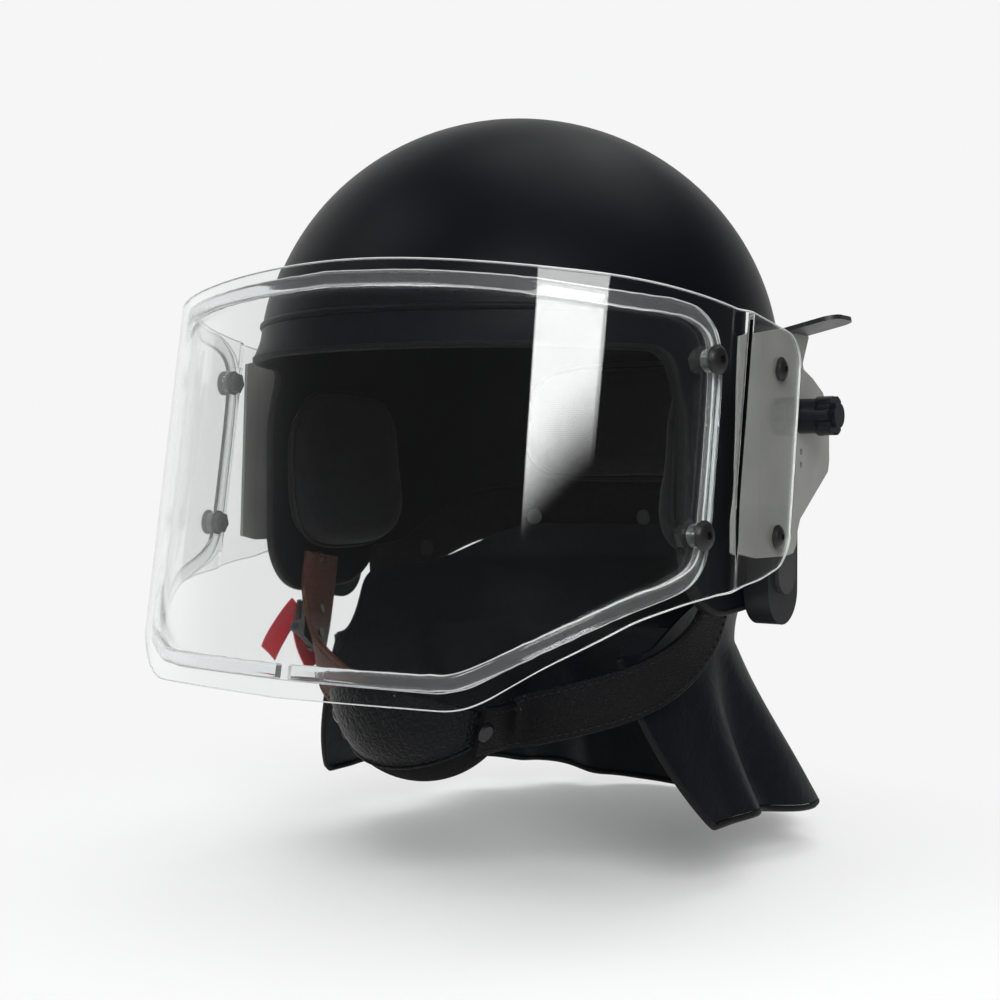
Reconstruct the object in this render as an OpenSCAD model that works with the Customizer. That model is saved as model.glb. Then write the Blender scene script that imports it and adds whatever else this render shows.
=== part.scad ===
// Riot helmet with a clear pivoting visor, hinge brackets, chin strap, cushions and a neck cape.
// Millimetres. The origin is midway between the two visor pivots, the face looks along -Y and +Z is up.

/* [Shell] */
// Width of the shell over the ears
shell_w = 248; // [236:1:254]
// Length of the shell from brow to nape
shell_l = 279; // [270:1:281]
// Height of the dome above its widest plane
dome_h = 124.5; // [118:0.5:126]
// Height of the widest plane above the pivots
dome_z = 25; // [22:0.5:27]
// How far the dome's centre lies in front of the pivots
dome_front = 5; // [3:0.5:6]
// Thickness of the shell wall
shell_wall = 4; // [3:0.25:5]
// Outward flare of the ear lobes
lobe_flare = 2.5; // [1:0.25:3]
// Height of the brow edge above the pivots
brow_z = 29; // [26:1:32]
// Distance of the lobes' front edge in front of the pivots
lobe_front = 62; // [56:1:68]
// Depth of the lobes below the pivots
lobe_drop = 87; // [82:1:90]
// Depth of the nape edge below the pivots
nape_drop = 62; // [50:1:66]
// Height of the raised brow line above the brow edge
brow_band = 15; // [12:1:18]
// Height of the bead along the rim
trim_h = 2.6; // [2:0.2:4]
// How far that bead stands proud of the wall's faces
trim_over = 0.5; // [0.3:0.1:0.6]
// Rise of the raised brow line
line_t = 1.2; // [0.8:0.1:1.5]

/* [Liner] */
// Thickness of the impact liner
liner_t = 16; // [12:1:20]
// Thickness of the brow cushion
brow_pad_t = 15; // [10:1:18]
// Thickness of the crown cushion
crown_pad_t = 10; // [6:1:14]
// Thickness of the rear cushion
rear_pad_t = 20; // [14:1:24]
// Thickness of the ear cushions
ear_pad_t = 19; // [14:1:22]
// Gap that keeps soft pieces off their neighbours
soft_gap = 0.3; // [0.2:0.05:0.5]

/* [Hinge] */
// Width of the hinge base
base_w = 31; // [27:1:34]
// How far the hinge base's outer face stands off the shell's side
base_stand = 15.5; // [14.5:0.5:16]
// Depth of the hinge base below the pivots
base_drop = 95; // [88:1:100]
// Width of the base plate
plate_w = 18; // [15:1:20]
// Thickness of the base plate
plate_t = 2; // [1.5:0.25:2.5]
// Depth of the base plate below the pivots
plate_drop = 81; // [76:1:84]
// Diameter of the pivot bolt
bolt_d = 8; // [6:0.5:9]
// Radial running clearance on the pivot bolt
run_gap = 0.05; // [0.03:0.01:0.09]
// Diameter of the knob collar
collar_d = 15.8; // [14:0.2:18]
// Length of the knob collar
collar_l = 9; // [7:0.5:10]
// Diameter over the knob's lobes
knob_d = 18; // [16:0.5:20]
// Length of the knob's lobed part
knob_l = 7.5; // [6:0.5:9]
// Diameter of the base screws
base_screw_d = 5; // [4:0.5:6]

/* [Visor] */
// Gap from the shell's side to the visor's curve
visor_side_gap = 24.3; // [23.3:0.1:25]
// Gap from the shell's brow to the visor's curve
visor_front_gap = 20.4; // [19.8:0.2:22.8]
// Start of the visor's curve in front of the pivots
visor_start = 33.3; // [32.9:0.1:36]
// Squareness of the visor's curve
visor_power = 2.8; // [2.6:0.05:3]
// Forward lean of the visor's lower edge, in degrees
visor_tilt = 9.1; // [7:0.1:11]
// Thickness of the outer pane
outer_t = 3; // [2.5:0.25:3.25]
// Thickness of the inner pane
inner_t = 2.5; // [2:0.25:2.75]
// Thickness of the sealing bead between the panes
bead_t = 3.5; // [3:0.25:3.75]
// Width of the sealing bead
bead_w = 6.5; // [5:0.5:8]
// Height of the outer pane's top edge at the middle
top_mid = 39; // [36:0.5:42]
// Height of the outer pane's top edge at the sides
top_side = 33.4; // [32:0.2:35]
// Outward step from the pane to its side wing
wing_step = 2.7; // [2.5:0.1:2.9]
// Distance of the wing's step in front of the pivots
wing_front = 63.9; // [60.9:0.5:65.9]
// Distance of the wing's rear edge in front of the pivots
wing_rear = 9.9; // [9.9:0.5:14.9]
// Radius of the wing's rear corners
wing_r = 14; // [8:1:18]
// Diameter of the visor screws
screw_d = 6; // [4:0.5:6]
// Height of a visor screw's head
head_h = 3.3; // [2.5:0.1:4]
// Distance of the pane screws in front of the pivots
pane_screw_front = 79.9; // [79.4:0.5:81.9]
// Height of the upper pane screws
pane_screw_top = 8.5; // [5:0.5:12]
// Height of the lower pane screws
pane_screw_low = -64.5; // [-67:0.5:-58]
// Distance of the wing screws in front of the pivots
wing_screw_front = 28.8; // [26:0.2:31]
// Height of the upper wing screws
wing_screw_top = 19.6; // [15:0.2:22]
// Height of the lower wing screws
wing_screw_low = -53.4; // [-56:0.2:-48]

/* [Brackets] */
// Thickness of the bracket's sheet
bracket_t = 2; // [1.5:0.25:2.5]
// Distance of the bracket's front edge in front of the pivots
bracket_front = 59; // [56:1:62]
// Width of the bent strip at the bracket's front
strip_w = 13; // [10:0.5:16]
// Inward bend of that strip
strip_in = 2.5; // [2.2:0.1:2.8]
// Width of the lift tab
tab_w = 24; // [18:1:26]
// Outward length of the lift tab
tab_l = 26; // [16:1:30]
// Rise of the lift tab, in degrees
tab_rise = 12; // [6:1:16]

/* [Chin strap] */
// Half width of the chin cup
cup_half_w = 44; // [40:1:48]
// Half length of the chin cup
cup_half_l = 42; // [38:1:46]
// Depth of the chin cup
cup_deep = 44; // [38:1:46]
// Thickness of the chin cup's leather
cup_t = 3; // [2:0.5:4]
// Thickness of the chin cup's lining
lining_t = 4; // [3:0.5:6]
// Width of the chin straps
strap_w = 24; // [18:1:26]
// Thickness of the chin straps
strap_t = 3; // [2:0.25:4]
// Diameter of the strap studs
stud_d = 9; // [7:0.5:12]

/* [Neck cape] */
// Height of the cape's band
band_h = 30; // [24:1:36]
// Thickness of the cape's band
band_t = 6; // [4:0.5:8]
// Thickness of the cape's cloth
cape_t = 2.4; // [1.6:0.2:3]
// Depth of the cape's hem below the pivots
hem_drop = 214; // [200:1:222]
// Outward swing of the cape's hem
hem_out = 46; // [36:1:54]
// Height of the cape's folds
fold_h = 10; // [6:0.5:12]
// Diameter of the cape's edge piping
piping_d = 3.4; // [2.8:0.2:4.4]

/* [Hidden] */

// Shell surface
half_w = shell_w / 2;
half_l = shell_l / 2;
visor_half_w = half_w + visor_side_gap;
visor_reach = half_l + dome_front + visor_front_gap - visor_start;
ring_n = 72;
function ease(t) = let(c = min(1, max(0, t))) c * c * (3 - 2 * c);
function wall_w(z) = half_w + lobe_flare * ease((dome_z - z) / 35);
function plan_power(z, rear) = 2 + (rear ? 0.2 : 0.9) * ease((dome_z + 15 - z) / 45);
// Point of the shell at ring angle u (0 at the front), height z and depth d inside the outer face
function skirt_pt(u, z, d = 0) = let(n = plan_power(z, cos(u) < 0))
    [(wall_w(z) - d) * sign(sin(u)) * pow(abs(sin(u)), 2 / n),
     -dome_front - (half_l - d) * sign(cos(u)) * pow(abs(cos(u)), 2 / n), z];
function dome_pt(u, e, d = 0) = let(z = dome_z + (dome_h - d) * sin(e), n = plan_power(z, cos(u) < 0))
    [(half_w - d) * cos(e) * sign(sin(u)) * pow(abs(sin(u)), 2 / n),
     -dome_front - (half_l - d) * cos(e) * sign(cos(u)) * pow(abs(cos(u)), 2 / n), z];
// Half width of the outer face at a place along the helmet
function side_x(y, z, d = 0) = let(n = plan_power(z, y > -dome_front))
    (wall_w(z) - d) * pow(max(0, 1 - pow(min(1, abs(y + dome_front) / (half_l - d)), n)), 1 / n);
function inner_pt(u, z, d) = z <= dome_z ? skirt_pt(u, z, d)
    : dome_pt(u, asin(min(1, (z - dome_z) / (dome_h - d))), d);

// Side view of the rim from the brow to the nape
lobe_r = 30;
brow_r = 10;
nape_start = 12;
function arc(cy, cz, r, a0, a1, n) = [for (i = [0:n]) let(a = a0 + (a1 - a0) * i / n)
    [cy + r * cos(a), cz + r * sin(a)]];
lobe_rim = concat(
    arc(-lobe_front - brow_r, brow_z - brow_r, brow_r, 90, 0, 5),
    arc(-lobe_front + lobe_r, -lobe_drop + lobe_r, lobe_r, 180, 270, 9),
    arc(nape_start - 24, -lobe_drop + 34, 34, 290, 325, 4));
nape_rim = [[62, -nape_drop - 4], [100, -nape_drop], [half_l - dome_front, -nape_drop]];
rim = concat(lobe_rim, nape_rim);
rear_line = concat([lobe_rim[len(lobe_rim) - 1]], nape_rim);
// The rim all round, at depth d inside the wall's outer face
function rim_side(d) = concat(
    [for (u = [0:5:65]) if (inner_pt(u, brow_z, 0)[1] < lobe_rim[0][0] - 2) inner_pt(u, brow_z, d)],
    [for (p = lobe_rim) [side_x(p[0], p[1], d), p[0], p[1]]],
    [for (u = [90:5:180]) if (skirt_pt(u, -nape_drop)[1] > rear_line[0][0] + 4)
        let(q = skirt_pt(u, -nape_drop, d)) [q[0], q[1], lookup(q[1], rear_line)]]);
function rim_path(d) = let(half = rim_side(d))
    concat(half, [for (i = [len(half) - 2:-1:1]) [-half[i][0], half[i][1], half[i][2]]]);

// Visor surface
front_part = 0.8;
side_part = pow(1 - pow(front_part, visor_power), 1 / visor_power);
plan = concat(
    [for (i = [0:40]) let(c = front_part * i / 40)
        [visor_half_w * c, visor_start + visor_reach * pow(1 - pow(c, visor_power), 1 / visor_power)]],
    [for (i = [1:40]) let(f = side_part * (1 - i / 40))
        [visor_half_w * pow(1 - pow(f, visor_power), 1 / visor_power), visor_start + visor_reach * f]],
    [[visor_half_w, visor_start - 100]]);
function running(list, i = 0, sum = 0, out = []) = i >= len(list) ? out
    : let(s = i == 0 ? 0 : sum + norm(list[i] - list[i - 1])) running(list, i + 1, s, concat(out, [s]));
plan_s = running(plan);
plan_x = [for (i = [0:len(plan) - 1]) [plan_s[i], plan[i][0]]];
plan_f = [for (i = [0:len(plan) - 1]) [plan_s[i], plan[i][1]]];
// Arc length from the middle to the pivots, and how much it exceeds the one the curves below are drawn for.
// The front of those curves stretches with it, their sides keep their place before the pivots
half_arc = plan_s[len(plan_s) - 2] + visor_start;
drawn_arc = 266.9;
arc_more = half_arc - drawn_arc;
cheek_arc = 150;
function at_arc(s) = s < cheek_arc ? s * (1 + arc_more / cheek_arc) : s + arc_more;
wing_start = half_arc - wing_front;
wing_end = half_arc - wing_rear;
pane_screw_s = half_arc - pane_screw_front;
function plan_pt(s) = [sign(s) * lookup(abs(s), plan_x), lookup(abs(s), plan_f)];
function plan_dir(s) = let(d = plan_pt(s + 2) - plan_pt(s - 2)) d / norm(d);
function step_out(s) = (visor_half_w + wing_step - abs(plan_pt(s)[0])) * ease((abs(s) - wing_start + 4) / 8);
function tilted(p) = [p[0], -p[1] * cos(visor_tilt) + p[2] * sin(visor_tilt),
    p[1] * sin(visor_tilt) + p[2] * cos(visor_tilt)];
// Point of the visor at arc length s, height z in its own tilted frame and depth d inside its face
function visor_at(s, z, d = 0) = let(p = plan_pt(s), t = plan_dir(s))
    tilted([p[0] + d * t[1], p[1] - d * t[0], z]);
// The wing's step leans against the visor's own upright, its rear edge hardly does
step_lean = 0.12;
function lean_at(s) = let(a = abs(s) - arc_more)
    step_lean * ease((a - 150) / 45) * (1 - 0.85 * ease((a - 212) / 45));
function pane_pt(s, z, d = 0) = visor_at(s + sign(s) * lean_at(s) * (top_side - z), z, d - step_out(s));

function smooth3(s, table, w) = (lookup(s - w, table) + lookup(s, table) + lookup(s + w, table)) / 3;
function on_arc(table) = [for (p = table) [at_arc(p[0]), p[1]]];
// Lower edge of the outer pane: arc length and height
chin_edge = on_arc([[0, -146], [84, -144], [94, -140.5], [118, -124], [155, -102.5], [174, -92.5],
    [203, -82], [258, -68], [300, -58]]);
function corner_drop(s) = let(t = min(wing_r, max(0, abs(s) - wing_end + wing_r)))
    wing_r - sqrt(wing_r * wing_r - t * t);
function outer_top(s) = top_mid - (top_mid - top_side) * ease(abs(s) / at_arc(120)) - corner_drop(s);
function outer_low(s) = smooth3(abs(s), chin_edge, 4) + corner_drop(s);
// Middle line of the sealing bead, below and above: arc length and height
seal_low = on_arc([[0, -135], [76, -134], [88, -131], [120, -113], [152, -96], [172, -88.5],
    [185, -81.5], [190.5, -73], [191.4, -60]]);
seal_top = on_arc([[0, 31.6], [40, 29.8], [60, 28.6], [78, 27.4], [97, 26.2], [112, 25.2], [140, 24.2],
    [168, 26.4], [180, 24], [188, 17.5], [191.4, 3]]);
seal_end = seal_top[len(seal_top) - 1][0];

// Faces of a loft with m rings of n points, closed by a fan at each end
function loft_faces(m, n) = concat(
    [for (i = [0:m - 2], j = [0:n - 1]) [i * n + j, i * n + (j + 1) % n, (i + 1) * n + (j + 1) % n]],
    [for (i = [0:m - 2], j = [0:n - 1]) [i * n + j, (i + 1) * n + (j + 1) % n, (i + 1) * n + j]],
    [for (j = [0:n - 1]) [m * n, (j + 1) % n, j]],
    [for (j = [0:n - 1]) [m * n + 1, (m - 1) * n + j, (m - 1) * n + (j + 1) % n]]);
function middle(ring) = [for (k = [0:2]) let(v = [for (p = ring) p[k]]) total(v) / len(v)];
function total(v, i = 0, s = 0) = i >= len(v) ? s : total(v, i + 1, s + v[i]);
module loft(rings, start, end) {
    m = len(rings);
    n = len(rings[0]);
    first = start == undef ? middle(rings[0]) : start;
    last = end == undef ? middle(rings[m - 1]) : end;
    polyhedron([for (r = rings) each r, first, last], loft_faces(m, n));
}
// Faces of an open bowl: m rings outside going up, m rings inside going up, and the two tops
function bowl_faces(m, n) = let(b = m * n, t = 2 * m * n) concat(
    [for (i = [0:m - 2], j = [0:n - 1]) [i * n + j, (i + 1) * n + j, (i + 1) * n + (j + 1) % n]],
    [for (i = [0:m - 2], j = [0:n - 1]) [i * n + j, (i + 1) * n + (j + 1) % n, i * n + (j + 1) % n]],
    [for (i = [0:m - 2], j = [0:n - 1]) [b + i * n + j, b + (i + 1) * n + (j + 1) % n, b + (i + 1) * n + j]],
    [for (i = [0:m - 2], j = [0:n - 1])
        [b + i * n + j, b + i * n + (j + 1) % n, b + (i + 1) * n + (j + 1) % n]],
    [for (j = [0:n - 1]) [(m - 1) * n + j, t, (m - 1) * n + (j + 1) % n]],
    [for (j = [0:n - 1]) [b + (m - 1) * n + j, b + (m - 1) * n + (j + 1) % n, t + 1]],
    [for (j = [0:n - 1]) [j, (j + 1) % n, b + (j + 1) % n]],
    [for (j = [0:n - 1]) [j, b + (j + 1) % n, b + j]]);
module bowl(outer, inner, outer_apex, inner_apex) {
    polyhedron([for (r = outer) each r, for (r = inner) each r, outer_apex, inner_apex],
        bowl_faces(len(outer), len(outer[0])));
}
module both_sides() {
    children();
    mirror([1, 0, 0]) children();
}
module along_x(x0, x1, d, at = [0, 0], sides = 48) {
    translate([x0, at[0], at[1]]) rotate([0, 90, 0]) cylinder(h = x1 - x0, d = d, $fn = sides);
}

// Shell and its brow line
line_z = brow_z + brow_band;
line_e = asin((line_z - dome_z) / dome_h);
line_half = 0.76;
line_end = 62.5;
dome_steps = [line_e - line_half, line_e + line_half, 16, 25, 35, 45, 55, 65, 74, 82];
skirt_low = -lobe_drop - 13;
skirt_levels = [skirt_low, -60, -30, -12, 4, dome_z - 8, dome_z];
module rim_cut() {
    far = half_l + 20;
    low = skirt_low - 20;
    rotate([90, 0, 90]) linear_extrude(height = 2 * half_w + 20, center = true)
        polygon(concat([[-far, brow_z]], rim, [[far, -nape_drop], [far, low], [-far, low]]));
}
function shell_rings(d) = concat(
    [for (z = skirt_levels) [for (j = [0:ring_n - 1]) skirt_pt(j * 360 / ring_n, z, d)]],
    [for (e = dome_steps) [for (j = [0:ring_n - 1]) dome_pt(j * 360 / ring_n, e, d)]]);
base_screw_at = [[0, -30], [0, -56]];
module shell() {
    color("#141517") difference() {
        bowl(shell_rings(0), shell_rings(shell_wall), [0, -dome_front, dome_z + dome_h],
            [0, -dome_front, dome_z + dome_h - shell_wall]);
        rim_cut();
        for (p = base_screw_at) both_sides() along_x(half_w - 12, half_w + 8, base_screw_d + 0.4, p);
    }
}
// Raised line over the brow, from one lobe to the other
module brow_line() {
    color("#1a1b1d") loft([for (u = [-line_end:180 / ring_n:line_end]) let(
        t = line_t * ease((line_end - abs(u)) / 8) + 0.1)
        [for (c = [[-t, -0.5], [-t, 0.5], [-0.02, 1], [-0.02, -1]])
            dome_pt(u, line_e + c[1] * line_half, c[0])]]);
}
// Edge bead along the rim, seated on the wall's cut face
trim_seat = 0.1;
rim_line = rim_path(0);
rim_out = rim_path(-trim_over);
rim_mid = rim_path(shell_wall / 2);
rim_in = rim_path(shell_wall + trim_over);
function rim_down(i) = let(n = len(rim_line), p = rim_line[i],
    t = unit(rim_line[(i + 1) % n] - rim_line[(i + n - 1) % n]))
    unit(cross(t, [p[0] / (half_w * half_w), (p[1] + dome_front) / (half_l * half_l), 0]));
// Loft round a closed path of rings
module loop(rings) {
    m = len(rings);
    n = len(rings[0]);
    polyhedron([for (r = rings) each r], concat(
        [for (i = [0:m - 1], j = [0:n - 1]) [i * n + j, i * n + (j + 1) % n, (i + 1) % m * n + (j + 1) % n]],
        [for (i = [0:m - 1], j = [0:n - 1]) [i * n + j, (i + 1) % m * n + (j + 1) % n, (i + 1) % m * n + j]]));
}
module edge_trim() {
    color("#0e0e0f") loop([for (i = [0:len(rim_line) - 1]) let(v = rim_down(i))
        [rim_out[i] + v * trim_seat, rim_in[i] + v * trim_seat, rim_in[i] + v * trim_h * 0.7,
            rim_mid[i] + v * trim_h, rim_out[i] + v * trim_h * 0.7]]);
}

// Cushion over an outline of two-number points; put(point, depth) places it, lift is its rise at a point
cushion_steps = [[0.5, 0], [0.93, 0], [0.99, 0.1], [1.03, 0.38], [0.98, 0.7], [0.86, 0.9], [0.6, 1]];
module cushion(outline, centre, t, put) {
    loft([for (k = cushion_steps) [for (p = outline) put(centre + (p - centre) * k[0], t * k[1])]],
        put(centre, 0), put(centre, t * 1.03));
}
// Rounded outline: centre, half width, half height, squareness and number of points
function rounded(c, a, b, p, n) = [for (i = [0:n - 1]) let(w = i * 360 / n)
    c + [a * sign(cos(w)) * pow(abs(cos(w)), 2 / p), b * sign(sin(w)) * pow(abs(sin(w)), 2 / p)]];

facet_gap = 0.6;
liner_d = shell_wall + facet_gap;
liner_in = liner_d + liner_t;
liner_low = 12;
liner_steps = [liner_low, 20, 30, 40, 50, 60, 70, 80];
module liner_foam() {
    color("#2b2c2e") bowl(
        [for (e = liner_steps) [for (j = [0:47]) dome_pt(j * 7.5, e, liner_d)]],
        [for (e = liner_steps) [for (j = [0:47]) dome_pt(j * 7.5, e, liner_in)]],
        [0, -dome_front, dome_z + dome_h - liner_d], [0, -dome_front, dome_z + dome_h - liner_in]);
}
crown_r = 27;
module crown_pad() {
    color("#1b1b1d") cushion(rounded([0, 0], crown_r, crown_r, 2.4, 32), [0, 0], crown_pad_t,
        function(p, d) dome_pt(atan2(p[0], -p[1]), 90 - norm(p), liner_in + facet_gap + d));
}
brow_mid = 10;
module brow_pad() {
    color("#1b1b1d") cushion(rounded([0, brow_z + brow_mid], 40, brow_mid - 1.5, 5, 40),
        [0, brow_z + brow_mid], brow_pad_t, function(p, d) inner_pt(p[0], p[1], liner_d + d));
}
module rear_pad() {
    color("#1b1b1d") cushion(rounded([180, 3], 36, 33, 4, 40), [180, 3], rear_pad_t,
        function(p, d) inner_pt(p[0], p[1], liner_d + d));
}
// Ear cushions thicken towards the cheek
ear_at = [-14, -24];
function cheek(z) = 1 + 0.35 * ease((-10 - z) / 50);
module ear_pad() {
    color("#1b1b1d") difference() {
        cushion(rounded(ear_at, 40, 41, 3.2, 36), ear_at, ear_pad_t,
            function(p, d) [side_x(p[0], p[1], liner_d) - d * cheek(p[1]), p[0], p[1]]);
        for (p = base_screw_at) along_x(shell_in - nut_t - soft_gap, shell_in + 1, base_screw_d * 2 + 0.8, p);
    }
}
module left_ear_pad() { ear_pad(); }
module right_ear_pad() { mirror([1, 0, 0]) ear_pad(); }

// Hinge bases and what is on them
base_in = half_w + lobe_flare + trim_over + 0.2;
base_x = half_w + base_stand;
head_d = 14;
head_t = 5;
washer_d = 22;
bracket_out = visor_half_w + wing_step - outer_t;
bracket_in = bracket_out - bracket_t;
plate_out = base_x + plate_t;
knob_in = bracket_out + collar_l;
knob_out = knob_in + knob_l;
bolt_end = knob_out - 1.5;
module upright(w, z_low, z_top, x0, x1) {
    translate([x0, 0, 0]) rotate([90, 0, 90]) linear_extrude(height = x1 - x0) {
        translate([0, z_low + w / 2]) circle(d = w, $fn = 64);
        translate([0, z_top - w / 2]) circle(d = w, $fn = 64);
        translate([-w / 2, z_low + w / 2]) square([w, z_top - z_low - w]);
    }
}
module hinge_base() {
    color("#2a2b2c") difference() {
        upright(base_w, -base_drop, base_w / 2 + 4, base_in, base_x);
        along_x(base_in - 1, base_x + 1, bolt_d + 2 * run_gap);
        along_x(base_in - 1, base_in + head_t + 0.1, head_d + 0.2);
        for (p = base_screw_at) along_x(base_in - 1, base_x + 1, base_screw_d + 0.4, p);
    }
}
module left_hinge_base() { hinge_base(); }
module right_hinge_base() { mirror([1, 0, 0]) hinge_base(); }
module base_plate() {
    color("#3b3c3d") difference() {
        upright(plate_w, -plate_drop, plate_w / 2 + 3, base_x, plate_out);
        along_x(base_x - 1, plate_out + 1, bolt_d + 2 * run_gap);
        for (p = base_screw_at) along_x(base_x - 1, plate_out + 1, base_screw_d + 0.4, p);
    }
}
module left_base_plate() { base_plate(); }
module right_base_plate() { mirror([1, 0, 0]) base_plate(); }
nut_t = 3.5;
shell_in = half_w + lobe_flare - shell_wall;
module base_screw() {
    difference() {
        union() {
            along_x(shell_in - nut_t, plate_out + 0.5, base_screw_d);
            along_x(plate_out, plate_out + 1.8, base_screw_d * 1.8);
        }
        along_x(plate_out + 0.6, plate_out + 3, 2.8, sides = 6);
    }
}
module base_screws() {
    color("#1c1c1d") for (p = base_screw_at) both_sides() translate([0, p[0], p[1]]) base_screw();
}
module base_nuts() {
    color("#5a5b5c") for (p = base_screw_at) both_sides() translate([0, p[0], p[1]]) difference() {
        along_x(shell_in - nut_t, shell_in - facet_gap, base_screw_d * 2);
        along_x(shell_in - nut_t - 1, shell_in + 1, base_screw_d);
    }
}
module pivot_bolt() {
    color("#4a4b4d") {
        along_x(base_in, base_in + head_t, head_d);
        along_x(base_in + head_t, bolt_end, bolt_d);
    }
}
module left_pivot_bolt() { pivot_bolt(); }
module right_pivot_bolt() { mirror([1, 0, 0]) pivot_bolt(); }
module friction_washer() {
    color("#202020") difference() {
        along_x(plate_out, bracket_in, washer_d);
        along_x(plate_out - 1, bracket_in + 1, bolt_d + 2 * run_gap);
    }
}
module left_friction_washer() { friction_washer(); }
module right_friction_washer() { mirror([1, 0, 0]) friction_washer(); }
module collar() {
    color("#101011") difference() {
        along_x(bracket_out + run_gap, knob_in, collar_d);
        along_x(bracket_out - 1, knob_in + 1, bolt_d + 2 * run_gap);
    }
}
module left_collar() { collar(); }
module right_collar() { mirror([1, 0, 0]) collar(); }
lobe_n = 6;
module knob() {
    color("#0d0d0e") difference() {
        union() {
            along_x(knob_in, knob_out, knob_d);
            along_x(knob_out, knob_out + 2, knob_d * 0.62);
        }
        for (i = [0:lobe_n - 1]) rotate([i * 360 / lobe_n, 0, 0])
            along_x(knob_in + 1.2, knob_out + 1, knob_d * 0.3, [0, knob_d * 0.56]);
        along_x(knob_in - 1, bolt_end + 0.1, bolt_d + 2 * run_gap);
    }
}
module left_knob() { knob(); }
module right_knob() { mirror([1, 0, 0]) knob(); }

// Visor brackets
edge_slope = 0.04;
function front_y(z) = -bracket_front + edge_slope * z;
function fold_y(z) = front_y(z) + strip_w;
tab_mid = -5;
tab_z = 38.4;
bracket_low = -62;
bracket_top = 34.5;
bracket_outline = [[fold_y(bracket_top), bracket_top], [-28, 37], [tab_mid - tab_w / 2, tab_z],
    [tab_mid + tab_w / 2, tab_z], [8, 36], [1.6, 24], [2.6, 21.4], [13, 17.6], [24.5, 11.6], [29.4, 4],
    [31.6, -5], [32, -20], [30.6, -25], [-0.4, -46.4], [-3.4, -52], [-4.6, -58], [-8, -61.6],
    [-14, -62.4], [fold_y(bracket_low), bracket_low]];
wing_screw_z = [wing_screw_top, wing_screw_low];
function wing_screw_at(z) = [-wing_screw_front + edge_slope * z, z];
hole_d = screw_d + 0.4;
pin_hole_d = 3;
pin_hole_z = [-16, -22];
module bent_strip() {
    low = bracket_low + 3;
    top = bracket_top - 2;
    function corner(y, z, x) = [x, y, z];
    loft([for (k = [0, 1]) let(in = k == 0 ? 0 : strip_in, cut = k * 2.5)
        [for (c = [[top + 2 - cut, 0], [low - 3 + cut, 0], [low - 3 + cut, 1], [top + 2 - cut, 1]])
            corner(k == 0 ? fold_y(c[0]) : front_y(c[0]), c[0], bracket_out - in - c[1] * bracket_t)]]);
}
module bracket_plate() {
    difference() {
        union() {
            translate([bracket_in, 0, 0]) rotate([90, 0, 90]) linear_extrude(height = bracket_t)
                polygon(bracket_outline);
            bent_strip();
        }
        along_x(bracket_in - 1, bracket_out + 1, bolt_d + 2 * run_gap);
        for (z = wing_screw_z) along_x(bracket_in - 1, bracket_out + 1, hole_d, wing_screw_at(z));
        for (z = pin_hole_z) along_x(bracket_in - 1, bracket_out + 1, pin_hole_d, [0.3, z]);
    }
}
// Lift tab bent outward from the top of the left bracket
tab_r = 7;
module lift_tab() {
    translate([bracket_in, tab_mid, tab_z - bracket_t]) rotate([0, -tab_rise, 0])
        linear_extrude(height = bracket_t) {
            translate([0, -tab_w / 2]) square([tab_l - tab_r, tab_w]);
            for (k = [-1, 1]) translate([tab_l - tab_r, k * (tab_w / 2 - tab_r)]) circle(r = tab_r, $fn = 48);
            translate([0, -tab_w / 2 + tab_r]) square([tab_l, tab_w - 2 * tab_r]);
        }
}
module left_bracket() {
    color("#33353a") {
        bracket_plate();
        lift_tab();
    }
}
module right_bracket() { color("#33353a") mirror([1, 0, 0]) bracket_plate(); }

// Panes, their bead and screws
function arc_list(r) = [for (v = r) at_arc(v)];
side_s = concat(arc_list([8:8:96]), arc_list([102:6:178]), [pane_screw_s - 4, pane_screw_s + 4],
    [for (k = [-5:2:5]) wing_start + k], [for (s = [wing_start + 13:12:wing_end - wing_r - 4]) s],
    [for (a = [0:15:90]) wing_end - wing_r + wing_r * sin(a)]);
function both(list) = concat([for (i = [len(list) - 1:-1:0]) -list[i]], [0], list);
seal_margin = bead_w / 2 + 0.4;
inner_s = concat(arc_list([8:8:80]), arc_list([88:6:178]),
    [pane_screw_s - 4, seal_end, seal_end + seal_margin]);
function pulled_in(s) = min(abs(s), seal_end) - max(0, abs(s) - at_arc(178)) * 0.25;
function inner_top(s) = smooth3(pulled_in(s), seal_top, 2) + seal_margin;
function inner_low(s) = smooth3(pulled_in(s), seal_low, 2) - seal_margin;
inner_d = outer_t + bead_t;
stack = inner_d + inner_t;
module on_visor(at, z) {
    o = visor_at(at, z);
    n = visor_at(at, z, 1) - o;
    v = tilted([0, 0, 1]);
    u = cross(v, n);
    multmatrix([[u[0], v[0], n[0], o[0]], [u[1], v[1], n[1], o[1]], [u[2], v[2], n[2], o[2]]]) children();
}
pane_screw_z = [pane_screw_top, pane_screw_low];
module at_pane_screws() {
    for (z = pane_screw_z) both_sides() on_visor(pane_screw_s, z) children();
}
module at_wing_screws() {
    for (z = wing_screw_z) both_sides() translate([bracket_out + outer_t, wing_screw_at(z)[0], z])
        rotate([0, -90, 0]) children();
}
module outer_pane() {
    color([0.9, 0.95, 0.97, 0.3]) difference() {
        loft([for (s = both(side_s)) [pane_pt(s, outer_top(s), outer_t), pane_pt(s, outer_low(s), outer_t),
            pane_pt(s, outer_low(s)), pane_pt(s, outer_top(s))]]);
        at_pane_screws() translate([0, 0, -2]) cylinder(h = outer_t + 3, d = hole_d, $fn = 32);
        at_wing_screws() translate([0, 0, -2]) cylinder(h = outer_t + 4, d = hole_d, $fn = 32);
    }
}
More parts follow.
